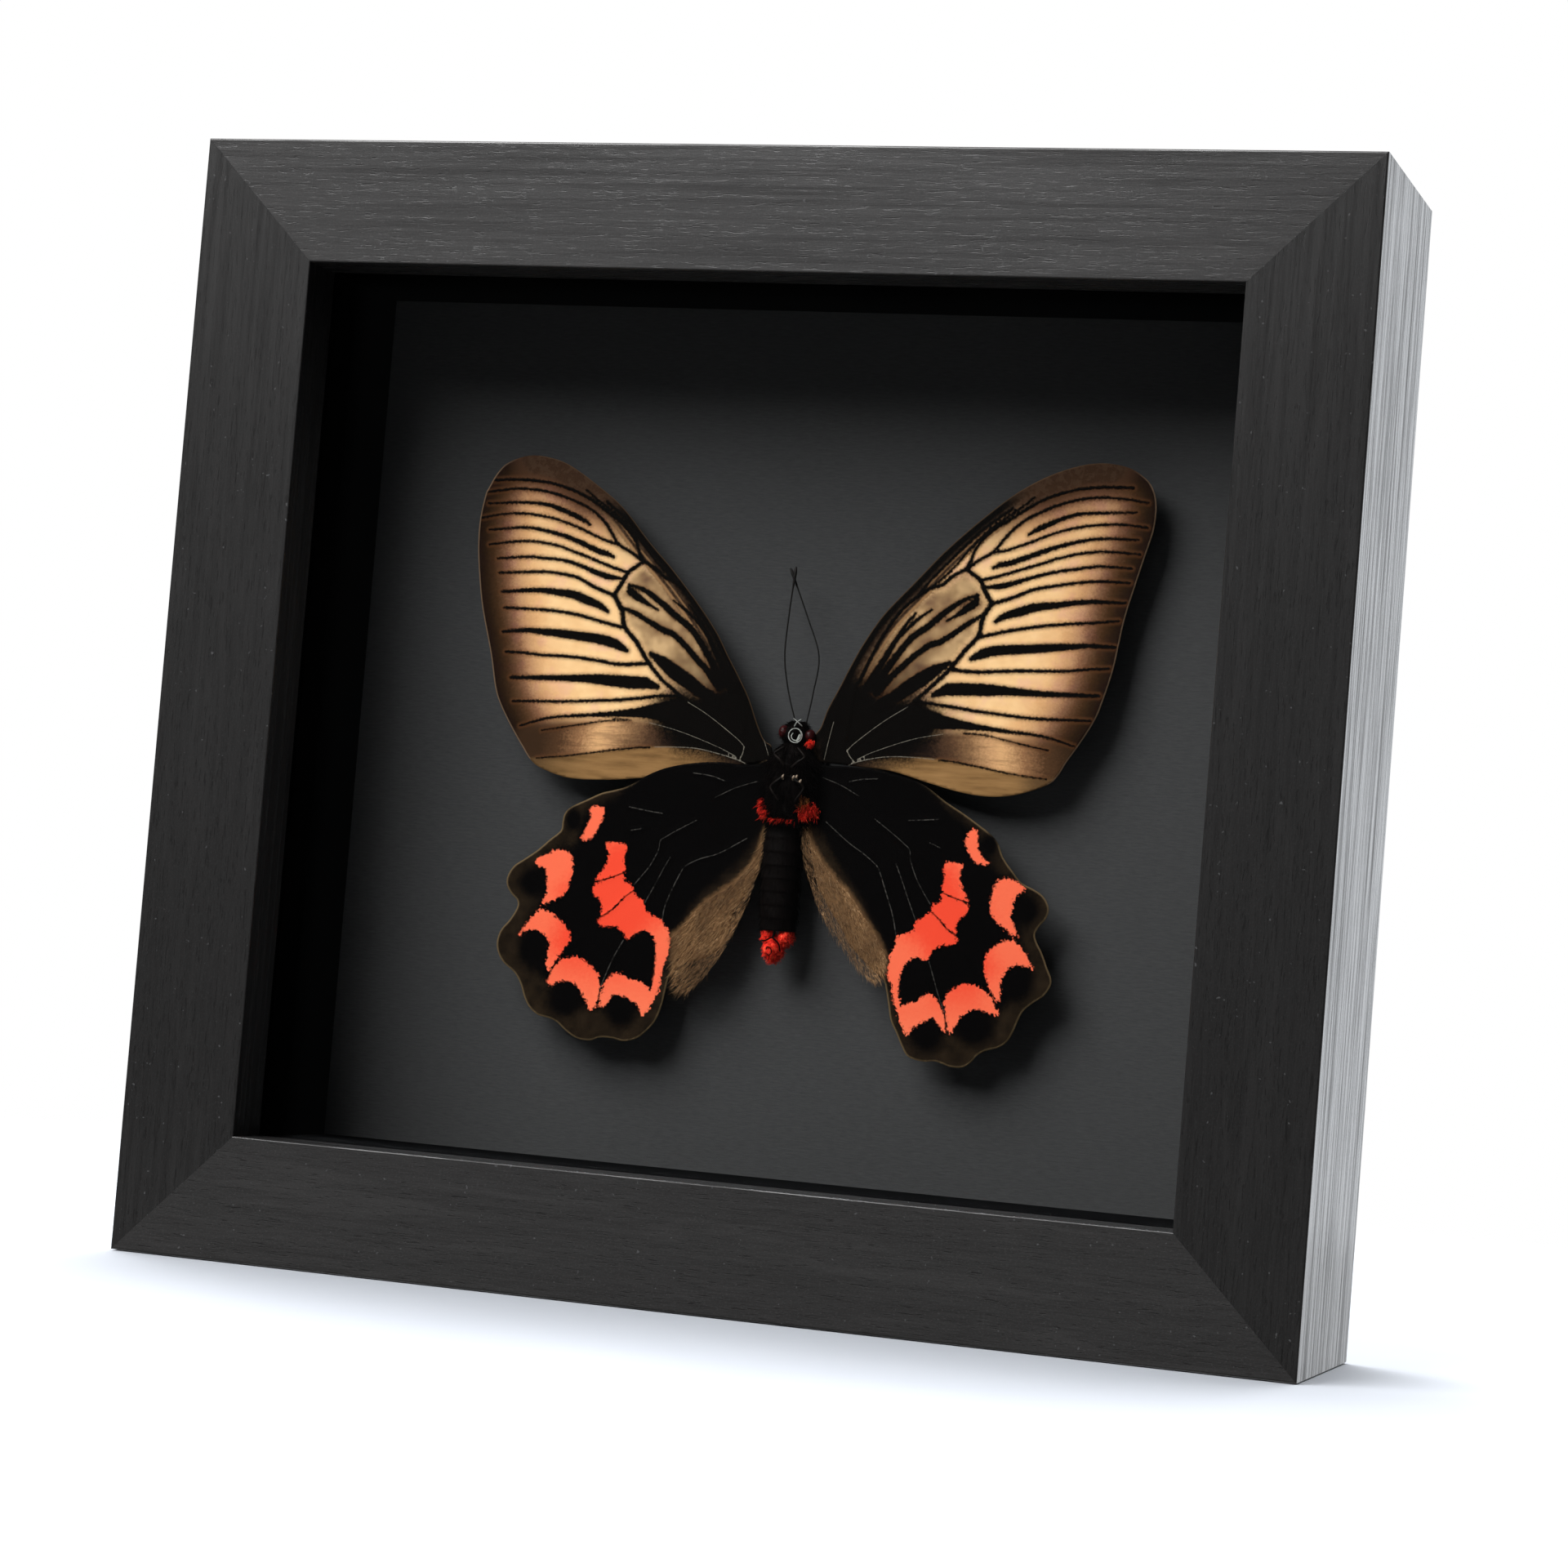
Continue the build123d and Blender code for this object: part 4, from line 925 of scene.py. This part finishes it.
def hindwing_scales():
    """Black hindwing with ragged coral patches, a smoky brown translucent border and a tan inner fold."""
    s = Shader("hindwing_scales")
    mm = s.mm()
    ragged = s.noise(mm, 2.0, 5, 0.75)
    fine = s.noise(mm, 7.0, 3, 0.6)
    mottle = s.noise(s.mm(shift=(3, 7, 1)), 0.4, 4, 0.6)
    jag = s.math("SUBTRACT", ragged, 0.5)
    drop, outer = s.attribute("drop"), s.attribute("outer")
    grain = s.scaled(fine, 0.4, s.times(mottle, 0.6))
    brown = s.ramp(grain, (0.36, srgb(17, 12, 8)), (0.64, srgb(41, 31, 21)))
    # Painted highlight: the brown is paler in a thin line along the edge, where the edge would catch the
    # light.
    brown = s.over(brown, srgb(104, 86, 62), outer, 0.4, 0.1, 0.75)
    black = s.ramp(fine, (0.35, (0.0004, 0.00035, 0.00035)), (0.75, (0.0022, 0.0016, 0.0016)))
    zone = s.scaled(jag, 3.0, s.attribute("zone"))
    colour = s.over(brown, black, zone, 1.6, -0.8)
    spot = s.scaled(jag, 0.9, s.attribute("spot"))
    colour = s.over(colour, black, spot, 0.62, -0.35)
    rosy = s.step(s.scaled(jag, 6.0, outer), 11.0, 5.5)
    below = s.step(s.scaled(jag, 8.0, drop), 29.0, 41.0)
    pinker = s.math("MAXIMUM", s.times(rosy, 0.75), below)
    coral = s.mix(pinker, srgb(238, 74, 50), srgb(246, 118, 84))
    coral = s.over(coral, srgb(224, 58, 40), fine, 0.5, 0.75, 0.5)
    red = s.scaled(s.math("SUBTRACT", s.noise(mm, 1.7, 4, 0.8), 0.5), 2.6, s.attribute("red"))
    colour = s.over(colour, coral, red, 0.07, -0.07)
    colour = s.over(colour, black, s.attribute("dark"), 0.15, -0.1, 0.8)
    fold = s.scaled(jag, 2.0, s.attribute("fold"))
    wool = s.ramp(s.noise(mm, 1.0, 5, 0.7), (0.3, srgb(66, 46, 30)), (0.7, srgb(124, 92, 62)))
    colour = s.over(colour, wool, fold, 0.4, -0.8)
    pale = s.times(s.step(s.attribute("pale"), 0.1, -0.05), s.step(ragged, 0.38, 0.6))
    colour = s.mix(s.times(pale, 0.55), colour, srgb(96, 92, 88))
    return s.finish(colour, (fine, 0.2, 0.58), (fine, 0.04, 0.5), 0.015)


def same(points):
    """The right wings' places, as they are."""
    return np.asarray(points, float)


fore_scales, hind_scales = forewing_scales(), hindwing_scales()
hind_warp = warp_from(HIND_MARKS)
for side, warp, outline, apex, tornus in (
    ("right", same, FORE_OUT_R, (46.5, 56.2), (43.9, 2.5)),
    ("left", warp_from(FORE_MARKS), FORE_OUT_L, (-48, 53.4), (-48.5, 1.0)),
):
    veins, lines, shade = forewing_cells(warp, apex, tornus)
    piece = wing("scaled_forewing_" + side, outline, lines, veins, forewing_y, fore_scales, shade)
    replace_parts(piece, "forewing_" + side)
for side, warp, outline in (("right", same, HIND_OUT_R), ("left", hind_warp, HIND_OUT_L)):
    veins, lines, shade = hindwing_cells(warp)
    piece = wing("scaled_hindwing_" + side, outline, lines, veins, hindwing_y, hind_scales, shade)
    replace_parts(piece, "hindwing_" + side)


# ---------------------------------------------------------------- insect body
rng = np.random.default_rng(11)


def body_point(x, out, z):
    """Specimen place in metres: x right, out towards the viewer, z up, from the middle of the thorax."""
    return np.stack([specimen_x + x * MM, body_y - out * MM, specimen_z + z * MM], axis=-1)


def ring_faces(rows, sides):
    """Faces round rows of points, with caps. `out` runs against Y, so they turn the other way round here."""
    last = (rows - 1) * sides
    faces = [tuple(range(sides)), tuple(last + i for i in reversed(range(sides)))]
    for row in range(0, last, sides):
        for i in range(sides):
            j = (i + 1) % sides
            faces.append((row + i, row + sides + i, row + sides + j, row + j))
    return faces


def tube(path, radii, sides=8):
    """Closed tube round a path of (x, out, z) points in millimetres, as (points, faces)."""
    path = np.asarray(path, float)
    radii = np.atleast_1d(radii)
    radii = np.interp(np.linspace(0, 1, len(path)), np.linspace(0, 1, len(radii)), radii)
    tangents = np.gradient(path, axis=0)
    tangents /= np.linalg.norm(tangents, axis=1)[:, None]
    any_way = (0.31, 0.2, 0.93)
    normal = np.cross(tangents[0], any_way)
    normal /= np.linalg.norm(normal)
    turn = np.arange(sides) * 2 * math.pi / sides
    rings = []
    for p, t, r in zip(path, tangents, radii):
        normal = normal - t * normal.dot(t)
        normal /= np.linalg.norm(normal)
        other = np.cross(t, normal)
        rings.append(p + r * (np.cos(turn)[:, None] * normal + np.sin(turn)[:, None] * other))
    return np.vstack(rings), ring_faces(len(path), sides)


def gather(*parts):
    """Several (points, faces) as one."""
    points, faces, start = [], [], 0
    for p, f in parts:
        points.append(p)
        faces += [tuple(start + i for i in face) for face in f]
        start += len(p)
    return np.vstack(points), faces


def insect_piece(name, part, material, slot, *nodes):
    """A piece made of (points, faces) in the specimen's millimetres, which may replace CAD nodes."""
    points, faces = part
    piece = case_mesh(name, body_point(*points.T), faces, material)
    if nodes:
        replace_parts(piece, *nodes)


class Lofted:
    """A closed body lofted round sections of (z, middle x, half width, half depth) from top to bottom."""

    def __init__(self, sections, bumps=0.0, rings=(), seed=1):
        self.sections = curve_points(sections, 0.22)
        draw = np.random.default_rng(seed).uniform
        self.waves = [(draw(1, 5), draw(0.6, 2.4), draw(0, 6), bumps * draw(0.3, 1)) for _ in range(9)]
        self.rings = rings

    def at(self, turn, k):
        """(x, out, z) for angles and section places."""
        z, x, w, d = self.sections[k].T
        swell = 1.0
        for around, along, phase, size in self.waves:
            swell = swell + size * np.sin(np.round(around) * turn + along * z + phase)
        for top, bottom, flare in self.rings:
            t = (z - top) / (bottom - top)
            swell = swell + np.where((t >= 0) & (t < 1), flare * t**2, 0)
        return np.stack([x + w * swell * np.sin(turn), d * swell * np.cos(turn), z], axis=-1)

    def mesh(self, sides=56):
        n = len(self.sections)
        turn = np.tile(np.arange(sides) * 2 * math.pi / sides, n)
        k = np.repeat(np.arange(n), sides)
        return self.at(turn, k), ring_faces(n, sides)

    def roots(self, count, z_range=(99, -99), turn_range=(-math.pi, math.pi)):
        """Random places on the surface and the outward directions there."""
        z = self.sections[:, 0]
        ok = np.flatnonzero((z <= z_range[0]) & (z >= z_range[1]))
        k = rng.choice(ok, count)
        turn = rng.uniform(*turn_range, count)
        here = self.at(turn, k)
        w, d = self.sections[k, 2:].T
        out = np.stack([np.sin(turn) / w, np.cos(turn) / d, 0 * turn], axis=-1)
        return here, out / np.linalg.norm(out, axis=1)[:, None]


def hairs(roots, lean, length, width, curl=0.25, droop=(0, 0, -0.3)):
    """Tapered three-sided hairs as (points, faces). lean is one way for all, or one for each root."""
    steps, stray, taper = 4, 0.22, 0.75
    third_turns = (0, 2.094, 4.189)
    count = len(roots)
    directions = np.broadcast_to(lean, (count, 3))
    directions = directions + rng.normal(0, stray, (count, 3))
    directions /= np.linalg.norm(directions, axis=1)[:, None]
    side = rng.normal(0, 1, (count, 3))
    side -= directions * (side * directions).sum(1)[:, None]
    side /= np.linalg.norm(side, axis=1)[:, None]
    up = np.cross(directions, side)
    lengths = length * rng.uniform(0.6, 1.15, count)
    spine, rings = [], []
    for s in range(steps + 1):
        t = s / steps
        bend = side * curl * t**2 + np.asarray(droop) * t**2
        spine.append(roots + (directions * t + bend) * lengths[:, None])
    for s in range(steps):
        r = width / 2 * (1 - taper * s / steps)
        for a in third_turns:
            rings.append(spine[s] + r * (math.cos(a) * side + math.sin(a) * up))
    points = np.stack(rings + [spine[-1]], axis=1).reshape(-1, 3)
    each = steps * 3 + 1
    one = []
    for s in range(steps - 1):
        for i in range(3):
            j = (i + 1) % 3
            one.append((s * 3 + i, s * 3 + 3 + i, s * 3 + 3 + j, s * 3 + j))
    top = (steps - 1) * 3
    caps = [(top + (i + 1) % 3, top + i, each - 1) for i in range(3)] + [(0, 1, 2)]
    faces = [tuple(k * each + i for i in f) for k in range(count) for f in one + caps]
    return points, faces


def fur_black():
    """Black body scales and hair with faint brown patches and a faint gloss."""
    s = Shader("fur_black")
    fine = s.noise(s.mm((1, 1, 0.4)), 4.0, 5, 0.7)
    patch = s.noise(s.mm(shift=(2, 2, 6)), 0.5, 3)
    tone = s.ramp(fine, (0.3, (0.0005, 0.0004, 0.0005)), (0.7, (0.0032, 0.0024, 0.0023)))
    tone = s.mix(s.times(patch, 0.3), tone, (0.009, 0.0055, 0.0045))
    return s.finish(tone, (fine, 0.3, 0.4), (fine, 0.12, 0.8), 0.02)


def fur_red():
    """Coral-red body scales with painted shade in their hollows and a painted highlight on their crests: the
    colour follows the same noise as the bumps.
    """
    s = Shader("fur_red")
    fine = s.noise(s.mm(), 1.5, 5, 0.75)
    # Painted shade and highlight: the darkest red where the bump noise is low, the palest where it is high.
    tone = s.ramp(fine, (0.36, srgb(104, 7, 5)), (0.5, srgb(238, 36, 22)), (0.66, srgb(255, 92, 62)))
    return s.finish(tone, (fine, 0.25, 0.5), (fine, 0.15, 0.8), 0.15)


def wool_tan():
    """Tan wool of the hindwings' inner folds."""
    s = Shader("wool_tan")
    fine = s.noise(s.mm(), 2.2, 4, 0.7)
    tone = s.ramp(fine, (0.3, srgb(104, 76, 48)), (0.5, srgb(168, 128, 88)), (0.7, srgb(214, 176, 134)))
    drift = s.noise(s.mm((1, 1, 0.5), (3, 8, 6)), 0.16, 2, 0.5)
    tone = s.over(tone, srgb(74, 52, 36), drift, 0.42, 0.58, 0.6)
    s.set(Base_Color=tone, Roughness=s.scaled(fine, 0.2, 0.5), Specular_IOR_Level=0.12)
    return s.material


def horn(name, dark, light, roughness, scale, gloss=0.5):
    """Hard skin of the eyes, tongue, antennae and legs, with rings or facets at the given scale."""
    s = Shader(name)
    cells = s.cells(s.mm(), scale)
    patch = s.noise(s.mm(), scale * 0.35, 4)
    colour = s.ramp(patch, (0.3, dark), (0.7, light))
    return s.finish(colour, (patch, 0.15, roughness), (cells, 0.05, 0.5), gloss)


black_fur, red_fur, tan_wool = fur_black(), fur_red(), wool_tan()
body_x = -0.5

thorax = Lofted(
    [
        (7.0, body_x, 1.4, 1.3), (6.2, body_x, 2.6, 2.4), (4.2, body_x, 4.0, 3.8),
        (1.0, body_x, 4.7, 4.4), (-2.5, body_x, 4.6, 4.3), (-5.2, body_x, 4.1, 3.8),
        (-7.0, body_x, 3.2, 3.0), (-7.6, body_x, 2.2, 2.2),
    ],
    bumps=0.022, seed=3,
)
roots, outward = thorax.roots(2600)
coat = hairs(roots, outward + (0, 0, -0.75), 1.5, 0.1)
roots, outward = thorax.roots(500, (5, -7), (-2.2, 2.2))
ruff = hairs(roots, outward * (1.6, 0.5, 1) + (0, 0, -0.5), 2.4, 0.09)
insect_piece("furry_thorax", gather(thorax.mesh(), coat, ruff), black_fur, "insect_body", "thorax")

# Red tufts, as middle, spread to the sides and up, and number of hairs: both sides of the thorax end, a
# faint band between them, and one on the collar.
tufts = []
for x, out, z, spread_x, spread_z, count in (
    (-5.0, 2.1, -4.0, 0.55, 0.95, 160), (-4.4, 2.8, -5.3, 0.6, 0.5, 100), (2.6, 3.0, -4.2, 1.5, 0.8, 330),
    (4.1, 2.2, -4.4, 0.8, 1.0, 130), (2.6, 3.2, -5.5, 0.9, 0.5, 110), (-1.6, 3.5, -6.3, 2.4, 0.22, 60),
    (2.5, 2.4, 7.0, 0.5, 0.35, 110),
):
    spread = rng.normal(0, 1, (count, 3)) * (spread_x * 0.5, 0.35, spread_z * 0.5)
    roots = np.array((x, out, z)) + spread - (0, 0.7, 0)
    tufts.append(hairs(roots, (np.sign(x) * 0.25, 1.0, -0.45), 1.15, 0.16, curl=0.4))
insect_piece("red_thorax_tufts", gather(*tufts), red_fur, "insect_tip")

roots = np.array((2.2, 3.0, -2.9)) + rng.normal(0, 1, (150, 3)) * (0.5, 0.3, 0.45)
amber = horn("fur_amber", srgb(92, 48, 16), srgb(176, 104, 48), 0.5, 3.0, 0.15)
insect_piece("amber_thorax_hair", hairs(roots, (0.5, 0.7, -0.4), 1.3, 0.08, curl=0.3), amber, "insect_tip")

first_ring, ring_step, ring_flare = thorax_end - 0.2, 2.25, 0.055
rings = [(first_ring - ring_step * k, first_ring - ring_step * (k + 1), ring_flare) for k in range(8)]
abdomen = Lofted(
    [
        (thorax_end + 0.4, -1.4, 2.6, 2.0), (-9.5, -1.45, 3.15, 2.8), (-13.5, -1.35, 3.25, 3.2),
        (-18.5, -1.25, 3.25, 3.1), (-22.5, -1.15, 3.15, 2.9), (-25.2, -1.1, 2.9, 2.5),
    ],
    bumps=0.008, rings=rings, seed=5,
)
roots, outward = abdomen.roots(1500)
down = hairs(roots, outward * 0.35 + (0, 0, -1.0), 0.75, 0.08, curl=0.15)
insect_piece("ringed_abdomen", gather(abdomen.mesh(), down), black_fur, "insect_body", "abdomen")

# The tip's claspers: two lobes above and a puckered one below, all set with red scales.
lobes = []
for seed, sections in (
    (7, [(-24.4, -2.4, 0.3, 0.5), (-25.2, -2.6, 1, 1.8), (-26.6, -2.5, 1.15, 2), (-27.6, -2, 0.5, 1.2)]),
    (8, [(-24.5, 0.6, 0.4, 0.6), (-25.3, 0.5, 1.1, 1.9), (-26.6, 0.45, 1.15, 2.1), (-27.7, 0.1, 0.5, 1.2)]),
    (9, [(-26.4, -1.4, 0.5, 1.4), (-27.2, -1.5, 1.5, 2.6), (-28.6, -1.5, 1.75, 2.8), (-29.8, -1.6, 1.2, 2.0),
         (-30.6, -1.7, 0.35, 0.9)]),
):
    lobes.append(Lofted(sections, 0.05, seed=seed))
tip = [lobe.mesh(40) for lobe in lobes]
for lobe in lobes:
    roots, outward = lobe.roots(260)
    tip.append(hairs(roots, outward * 0.8 + (0, 0, -0.6), 0.55, 0.13, curl=0.2))
insect_piece("red_claspers", gather(*tip), red_fur, "insect_tip", "abdomen_tip")
pucker = curve_points(
    [(-1.9, 2.65, -28.0), (-1.3, 2.8, -28.1), (-1.0, 2.75, -28.8), (-1.5, 2.7, -29.4), (-2.0, 2.6, -28.8),
     (-1.95, 2.65, -28.1)], 0.15,
)
seam = curve_points(
    [(-3.1, 1.9, -27.0), (-2.2, 2.6, -26.9), (-1.2, 2.6, -26.4), (0.0, 2.5, -27.3), (0.3, 2.1, -28.6)], 0.2,
)
cleft = [(-1.0, 1.8, -25.0), (-1.0, 2.2, -25.8), (-1.1, 2.5, -26.5)]
folds = gather(tube(pucker, 0.09), tube(seam, 0.13), tube(cleft, 0.22))
insect_piece("clasper_folds", folds, black_fur, "insect_body")

head = Lofted(
    [
        (10.4, -0.5, 0.8, 0.8), (9.8, -0.6, 1.7, 1.6), (8.6, -0.7, 2.35, 2.2), (7.4, -0.7, 2.3, 2.2),
        (thorax_top + 0.3, -0.6, 1.7, 1.6),
    ],
    bumps=0.02, seed=13,
)
roots, outward = head.roots(700)
crown = hairs(roots, outward + (0, 0, 0.25), 0.9, 0.08)
insect_piece("furry_head", gather(head.mesh(48), crown), black_fur, "insect_body", "head")


def eye(x, out, z, radius):
    """Slightly flattened compound eye."""
    flat, pole = 0.85, 0.01
    sections = []
    for a in np.linspace(0.08, math.pi - 0.08, 16):
        across = radius * math.sin(a)
        sections.append((radius * math.cos(a), 0, across * flat + pole, across + pole))
    points, faces = Lofted(sections).mesh(28)
    return points + (x, out, z), faces


eyes = gather(eye(-2.5, 0.9, 8.5, 1.15), eye(2.0, 0.5, 8.1, 1.1))
eye_skin = horn("eye_skin", srgb(22, 4, 5), srgb(58, 12, 14), 0.3, 5.0, 0.15)
insect_piece("compound_eyes", eyes, eye_skin, "insect_eye", "eyes")

# The tongue's coil: a full turn, and the rest of the turns winding in.
turns = np.linspace(0, 1.75, 60)
radius = 1.2 - 0.72 * np.clip((turns - 0.95) / 0.8, 0, 1)
angle = turns * 2 * math.pi + 0.9
spiral = np.stack([radius * np.sin(angle), 2.75 + 0.15 * turns, radius * np.cos(angle)], axis=1)
tongue = tube(spiral + (0.1, 0, 7.9), (0.085, 0.08, 0.065), 10)
root = tube(curve_points([(0.1, 1.6, 6.7), (0.35, 2.4, 7.0), (0.9, 2.75, 8.1)], 0.2), 0.17)
tongue_skin = horn("tongue_skin", srgb(120, 120, 116), srgb(196, 198, 194), 0.3, 6.0, 0.3)
insect_piece("coiled_tongue", gather(tongue, root), tongue_skin, "insect_proboscis", "proboscis")

palps = gather(
    tube(curve_points([(-0.5, 1.9, 9.5), (0.1, 2.5, 10.2), (0.9, 2.8, 10.7)], 0.2), (0.12, 0.09, 0.04)),
    tube(curve_points([(0.9, 1.9, 9.6), (0.3, 2.5, 10.2), (-0.5, 2.7, 10.8)], 0.2), (0.11, 0.08, 0.04)),
)
insect_piece("pale_palps", palps, tongue_skin, "insect_proboscis")

feeler_skin = horn("feeler_skin", (0.002, 0.0018, 0.0018), (0.01, 0.008, 0.0075), 0.45, 4.0, 0.15)
for side, start, bow, end, shift in (
    ("left", (-0.8, 10.0), (-3.75, 21.5), (-3.0, 36.7), 0.35),
    ("right", (0.8, 10.0), (2.1, 21.8), (-4.2, 36.5), -0.35),
):
    rising = ((start[0] + bow[0] * 1.25) / 2.1, 15.6)
    closing = ((bow[0] * 1.35 + end[0]) / 2.25, 28.6)
    path = curve_points([start, rising, bow, closing, end], 0.3)
    path = np.insert(path, 1, shift, axis=1)
    # A club near the tip, and a ring at every other section.
    along = np.linspace(0, 1, len(path))
    club, point = np.clip((along - 0.86) / 0.1, 0, 1), np.clip((along - 0.97) / 0.03, 0, 1)
    thick = 0.13 + 0.16 * club - 0.12 * point
    thick *= 1 + 0.06 * (np.arange(len(path)) % 2)
    insect_piece("feeler_" + side, tube(path, thick), feeler_skin, "insect_body", "antenna_" + side)

leg_skin = horn("leg_skin", (0.001, 0.0008, 0.0007), (0.008, 0.005, 0.004), 0.5, 3.0, 0.08)
leg_parts = []
for path in (
    [(-0.9, 4.3, 2.6), (-1.6, 4.7, 3.5), (-2.7, 4.6, 4.5), (-2.0, 4.6, 5.2), (-1.2, 4.3, 5.8)],
    [(0.5, 4.3, 2.4), (1.4, 4.7, 3.2), (2.6, 4.6, 4.2), (2.0, 4.5, 5.0), (1.2, 4.2, 5.8)],
    [(-0.6, 4.5, 1.0), (-1.6, 4.9, 0.1), (-2.9, 4.6, -1.0), (-2.3, 4.7, -2.2), (-1.4, 4.6, -3.2)],
    [(0.5, 4.5, 1.0), (1.6, 4.9, 0.2), (2.9, 4.6, -0.9), (2.3, 4.6, -2.1), (1.5, 4.5, -3.2)],
):
    path = curve_points(path, 0.25)
    along = np.linspace(0, 1, len(path))
    knots = np.cos(np.linspace(0, 3 * math.pi, len(path))) ** 2
    thick = 0.26 - 0.12 * along + 0.05 * knots
    leg_parts.append(tube(path, thick, 10))
    spur = path[len(path) // 5 :: 3]
    leg_parts.append(hairs(spur, (0.2, 0.6, -0.4), 0.5, 0.06))
insect_piece("folded_legs", gather(*leg_parts), leg_skin, "insect_leg", "legs")
stubs = []
for x, z, dx in ((-0.9, 0.35, 0.1), (0.9, 0.3, 0.15), (1.5, 0.4, 0.1), (2.1, -0.3, 0.2)):
    path = [(x, 4.5, z), (x + dx, 5.0, z + 0.35), (x + 2 * dx, 4.9, z + 0.75)]
    stubs.append(tube(path, [0.2, 0.22, 0.12]))
joint_skin = horn("joint_skin", srgb(96, 76, 58), srgb(176, 158, 140), 0.4, 3.0)
insect_piece("leg_joints", gather(*stubs), joint_skin, "insect_leg")


def fold_wool(warp, count, lean, length):
    """Wool along a hindwing's inner fold, combed away from the body."""
    fold = curve_points(warp(HIND_FOLD), 0.5, closed=True)
    low, high = fold.min(0), fold.max(0)
    spots = rng.uniform(low, high, (count * 4, 2))
    spots = spots[region_distance(spots, fold) < -0.5][:count]
    lift = (body_y - hindwing_y) / MM - camber(spots) + 0.1
    roots = np.insert(spots, 1, lift, axis=1)
    return hairs(roots, lean, length, 0.055, curl=0.12, droop=(0, 0, 0))


wool = gather(
    fold_wool(same, 2400, (0.5, 0.06, -0.95), 1.6),
    fold_wool(hind_warp, 2600, (-0.62, 0.06, -0.85), 2.0),
)
insect_piece("fold_wool", wool, tan_wool, "hindwing")


# ---------------------------------------------------------------- camera, light and floor
def camera():
    """The camera fitted to the photo's frame corners."""
    right, down = Vector((0.94682, 0.31125, 0.08164)), Vector((0.06319, 0.06892, -0.99562))
    forward = Vector((-0.31551, 0.94783, 0.04559))
    turn = Matrix((right, -down, -forward)).transposed().to_4x4()
    holder = add_object("camera", bpy.data.cameras.new("camera"))
    holder.matrix_world = Matrix.Translation((0.20615, -0.60841, 0.05816)) @ turn
    holder.data.lens = 87.892
    holder.data.sensor_width = 36
    holder.data.clip_start = 0.01
    bpy.context.scene.camera = holder


def softbox(name, where, target, size, power, colour=(1, 1, 1)):
    """A rectangular lamp of a given power in watts, turned to its target."""
    lamp = bpy.data.lights.new(name, "AREA")
    lamp.shape = "RECTANGLE"
    lamp.size, lamp.size_y = size
    lamp.energy = power
    lamp.color = colour
    holder = add_object(name, lamp)
    holder.location = where
    holder.rotation_euler = (Vector(target) - Vector(where)).to_track_quat("-Z", "Y").to_euler()
    return holder


def studio_floor():
    """A floor for the shadow, which thins out into the white surroundings away from the case."""
    s = Shader("studio_floor")
    pale = s.ramp(s.noise(s.mm(), 0.02, 2), (0.3, (0.375, 0.395, 0.43)), (0.7, (0.39, 0.41, 0.445)))
    seen = s.node("LightPath", output="Is Camera Ray")
    s.set(Base_Color=s.mix(seen, (0.16, 0.16, 0.16), pale), Roughness=0.9, Specular_IOR_Level=0.1)
    away = s.node("VectorMath", {0: s.mm((1, 1, 0))}, output="Value", operation="LENGTH")
    gloss = s.times(s.node("LightPath", output="Is Glossy Ray"), 0.7)
    thin = s.math("MAXIMUM", s.step(away, 190.0, 430.0), gloss)
    s.surface(s.node("MixShader", {0: thin, 1: s.bsdf.outputs[0], 2: s.node("BsdfTransparent")}))
    reach, drop = 1.2, 0.0002
    corners = [(-reach, -reach, 0), (reach, -reach, 0), (reach, reach, 0), (-reach, reach, 0)]
    plane = new_mesh("studio_floor", corners, [(0, 1, 2, 3)], s.material)
    plane.location.z = -drop


def surroundings():
    """White for the camera; for gloss and light, bright behind the case and dim in front of it."""
    world = bpy.data.worlds.new("studio")
    bpy.context.scene.world = world
    world.use_nodes = True
    sky = Nodes(world.node_tree)
    behind = sky.node("SeparateXYZ", {0: sky.node("TexCoord", output="Generated")}, "Y")
    levels = {"From Min": -0.35, "From Max": 0.7, "To Min": 0.05, "To Max": 1.0}
    level = sky.node("MapRange", {"Value": behind, **levels})
    background = sky.tree.nodes["Background"].inputs
    sky.put(background["Color"], (1, 1, 1))
    sky.put(background["Strength"], sky.math("MAXIMUM", level, sky.node("LightPath", output="Is Camera Ray")))


camera()
softbox("key", (-0.62, -1.1, 1.14), (0, 0, 0.09), (1.1, 1.1), 56)
overhead = softbox("overhead", (-0.15, 0.45, 1.5), (0, 0, 0), (1.2, 0.8), 62)
overhead.visible_glossy = False  # its reflection would turn the top rail to silver
softbox("rim", (0.55, 1.7, 0.2), (0.1, 0, 0.09), (1.2, 1.0), 2.2, (0.8, 0.89, 1))
studio_floor()
surroundings()
bpy.context.scene.view_settings.view_transform = "Standard"
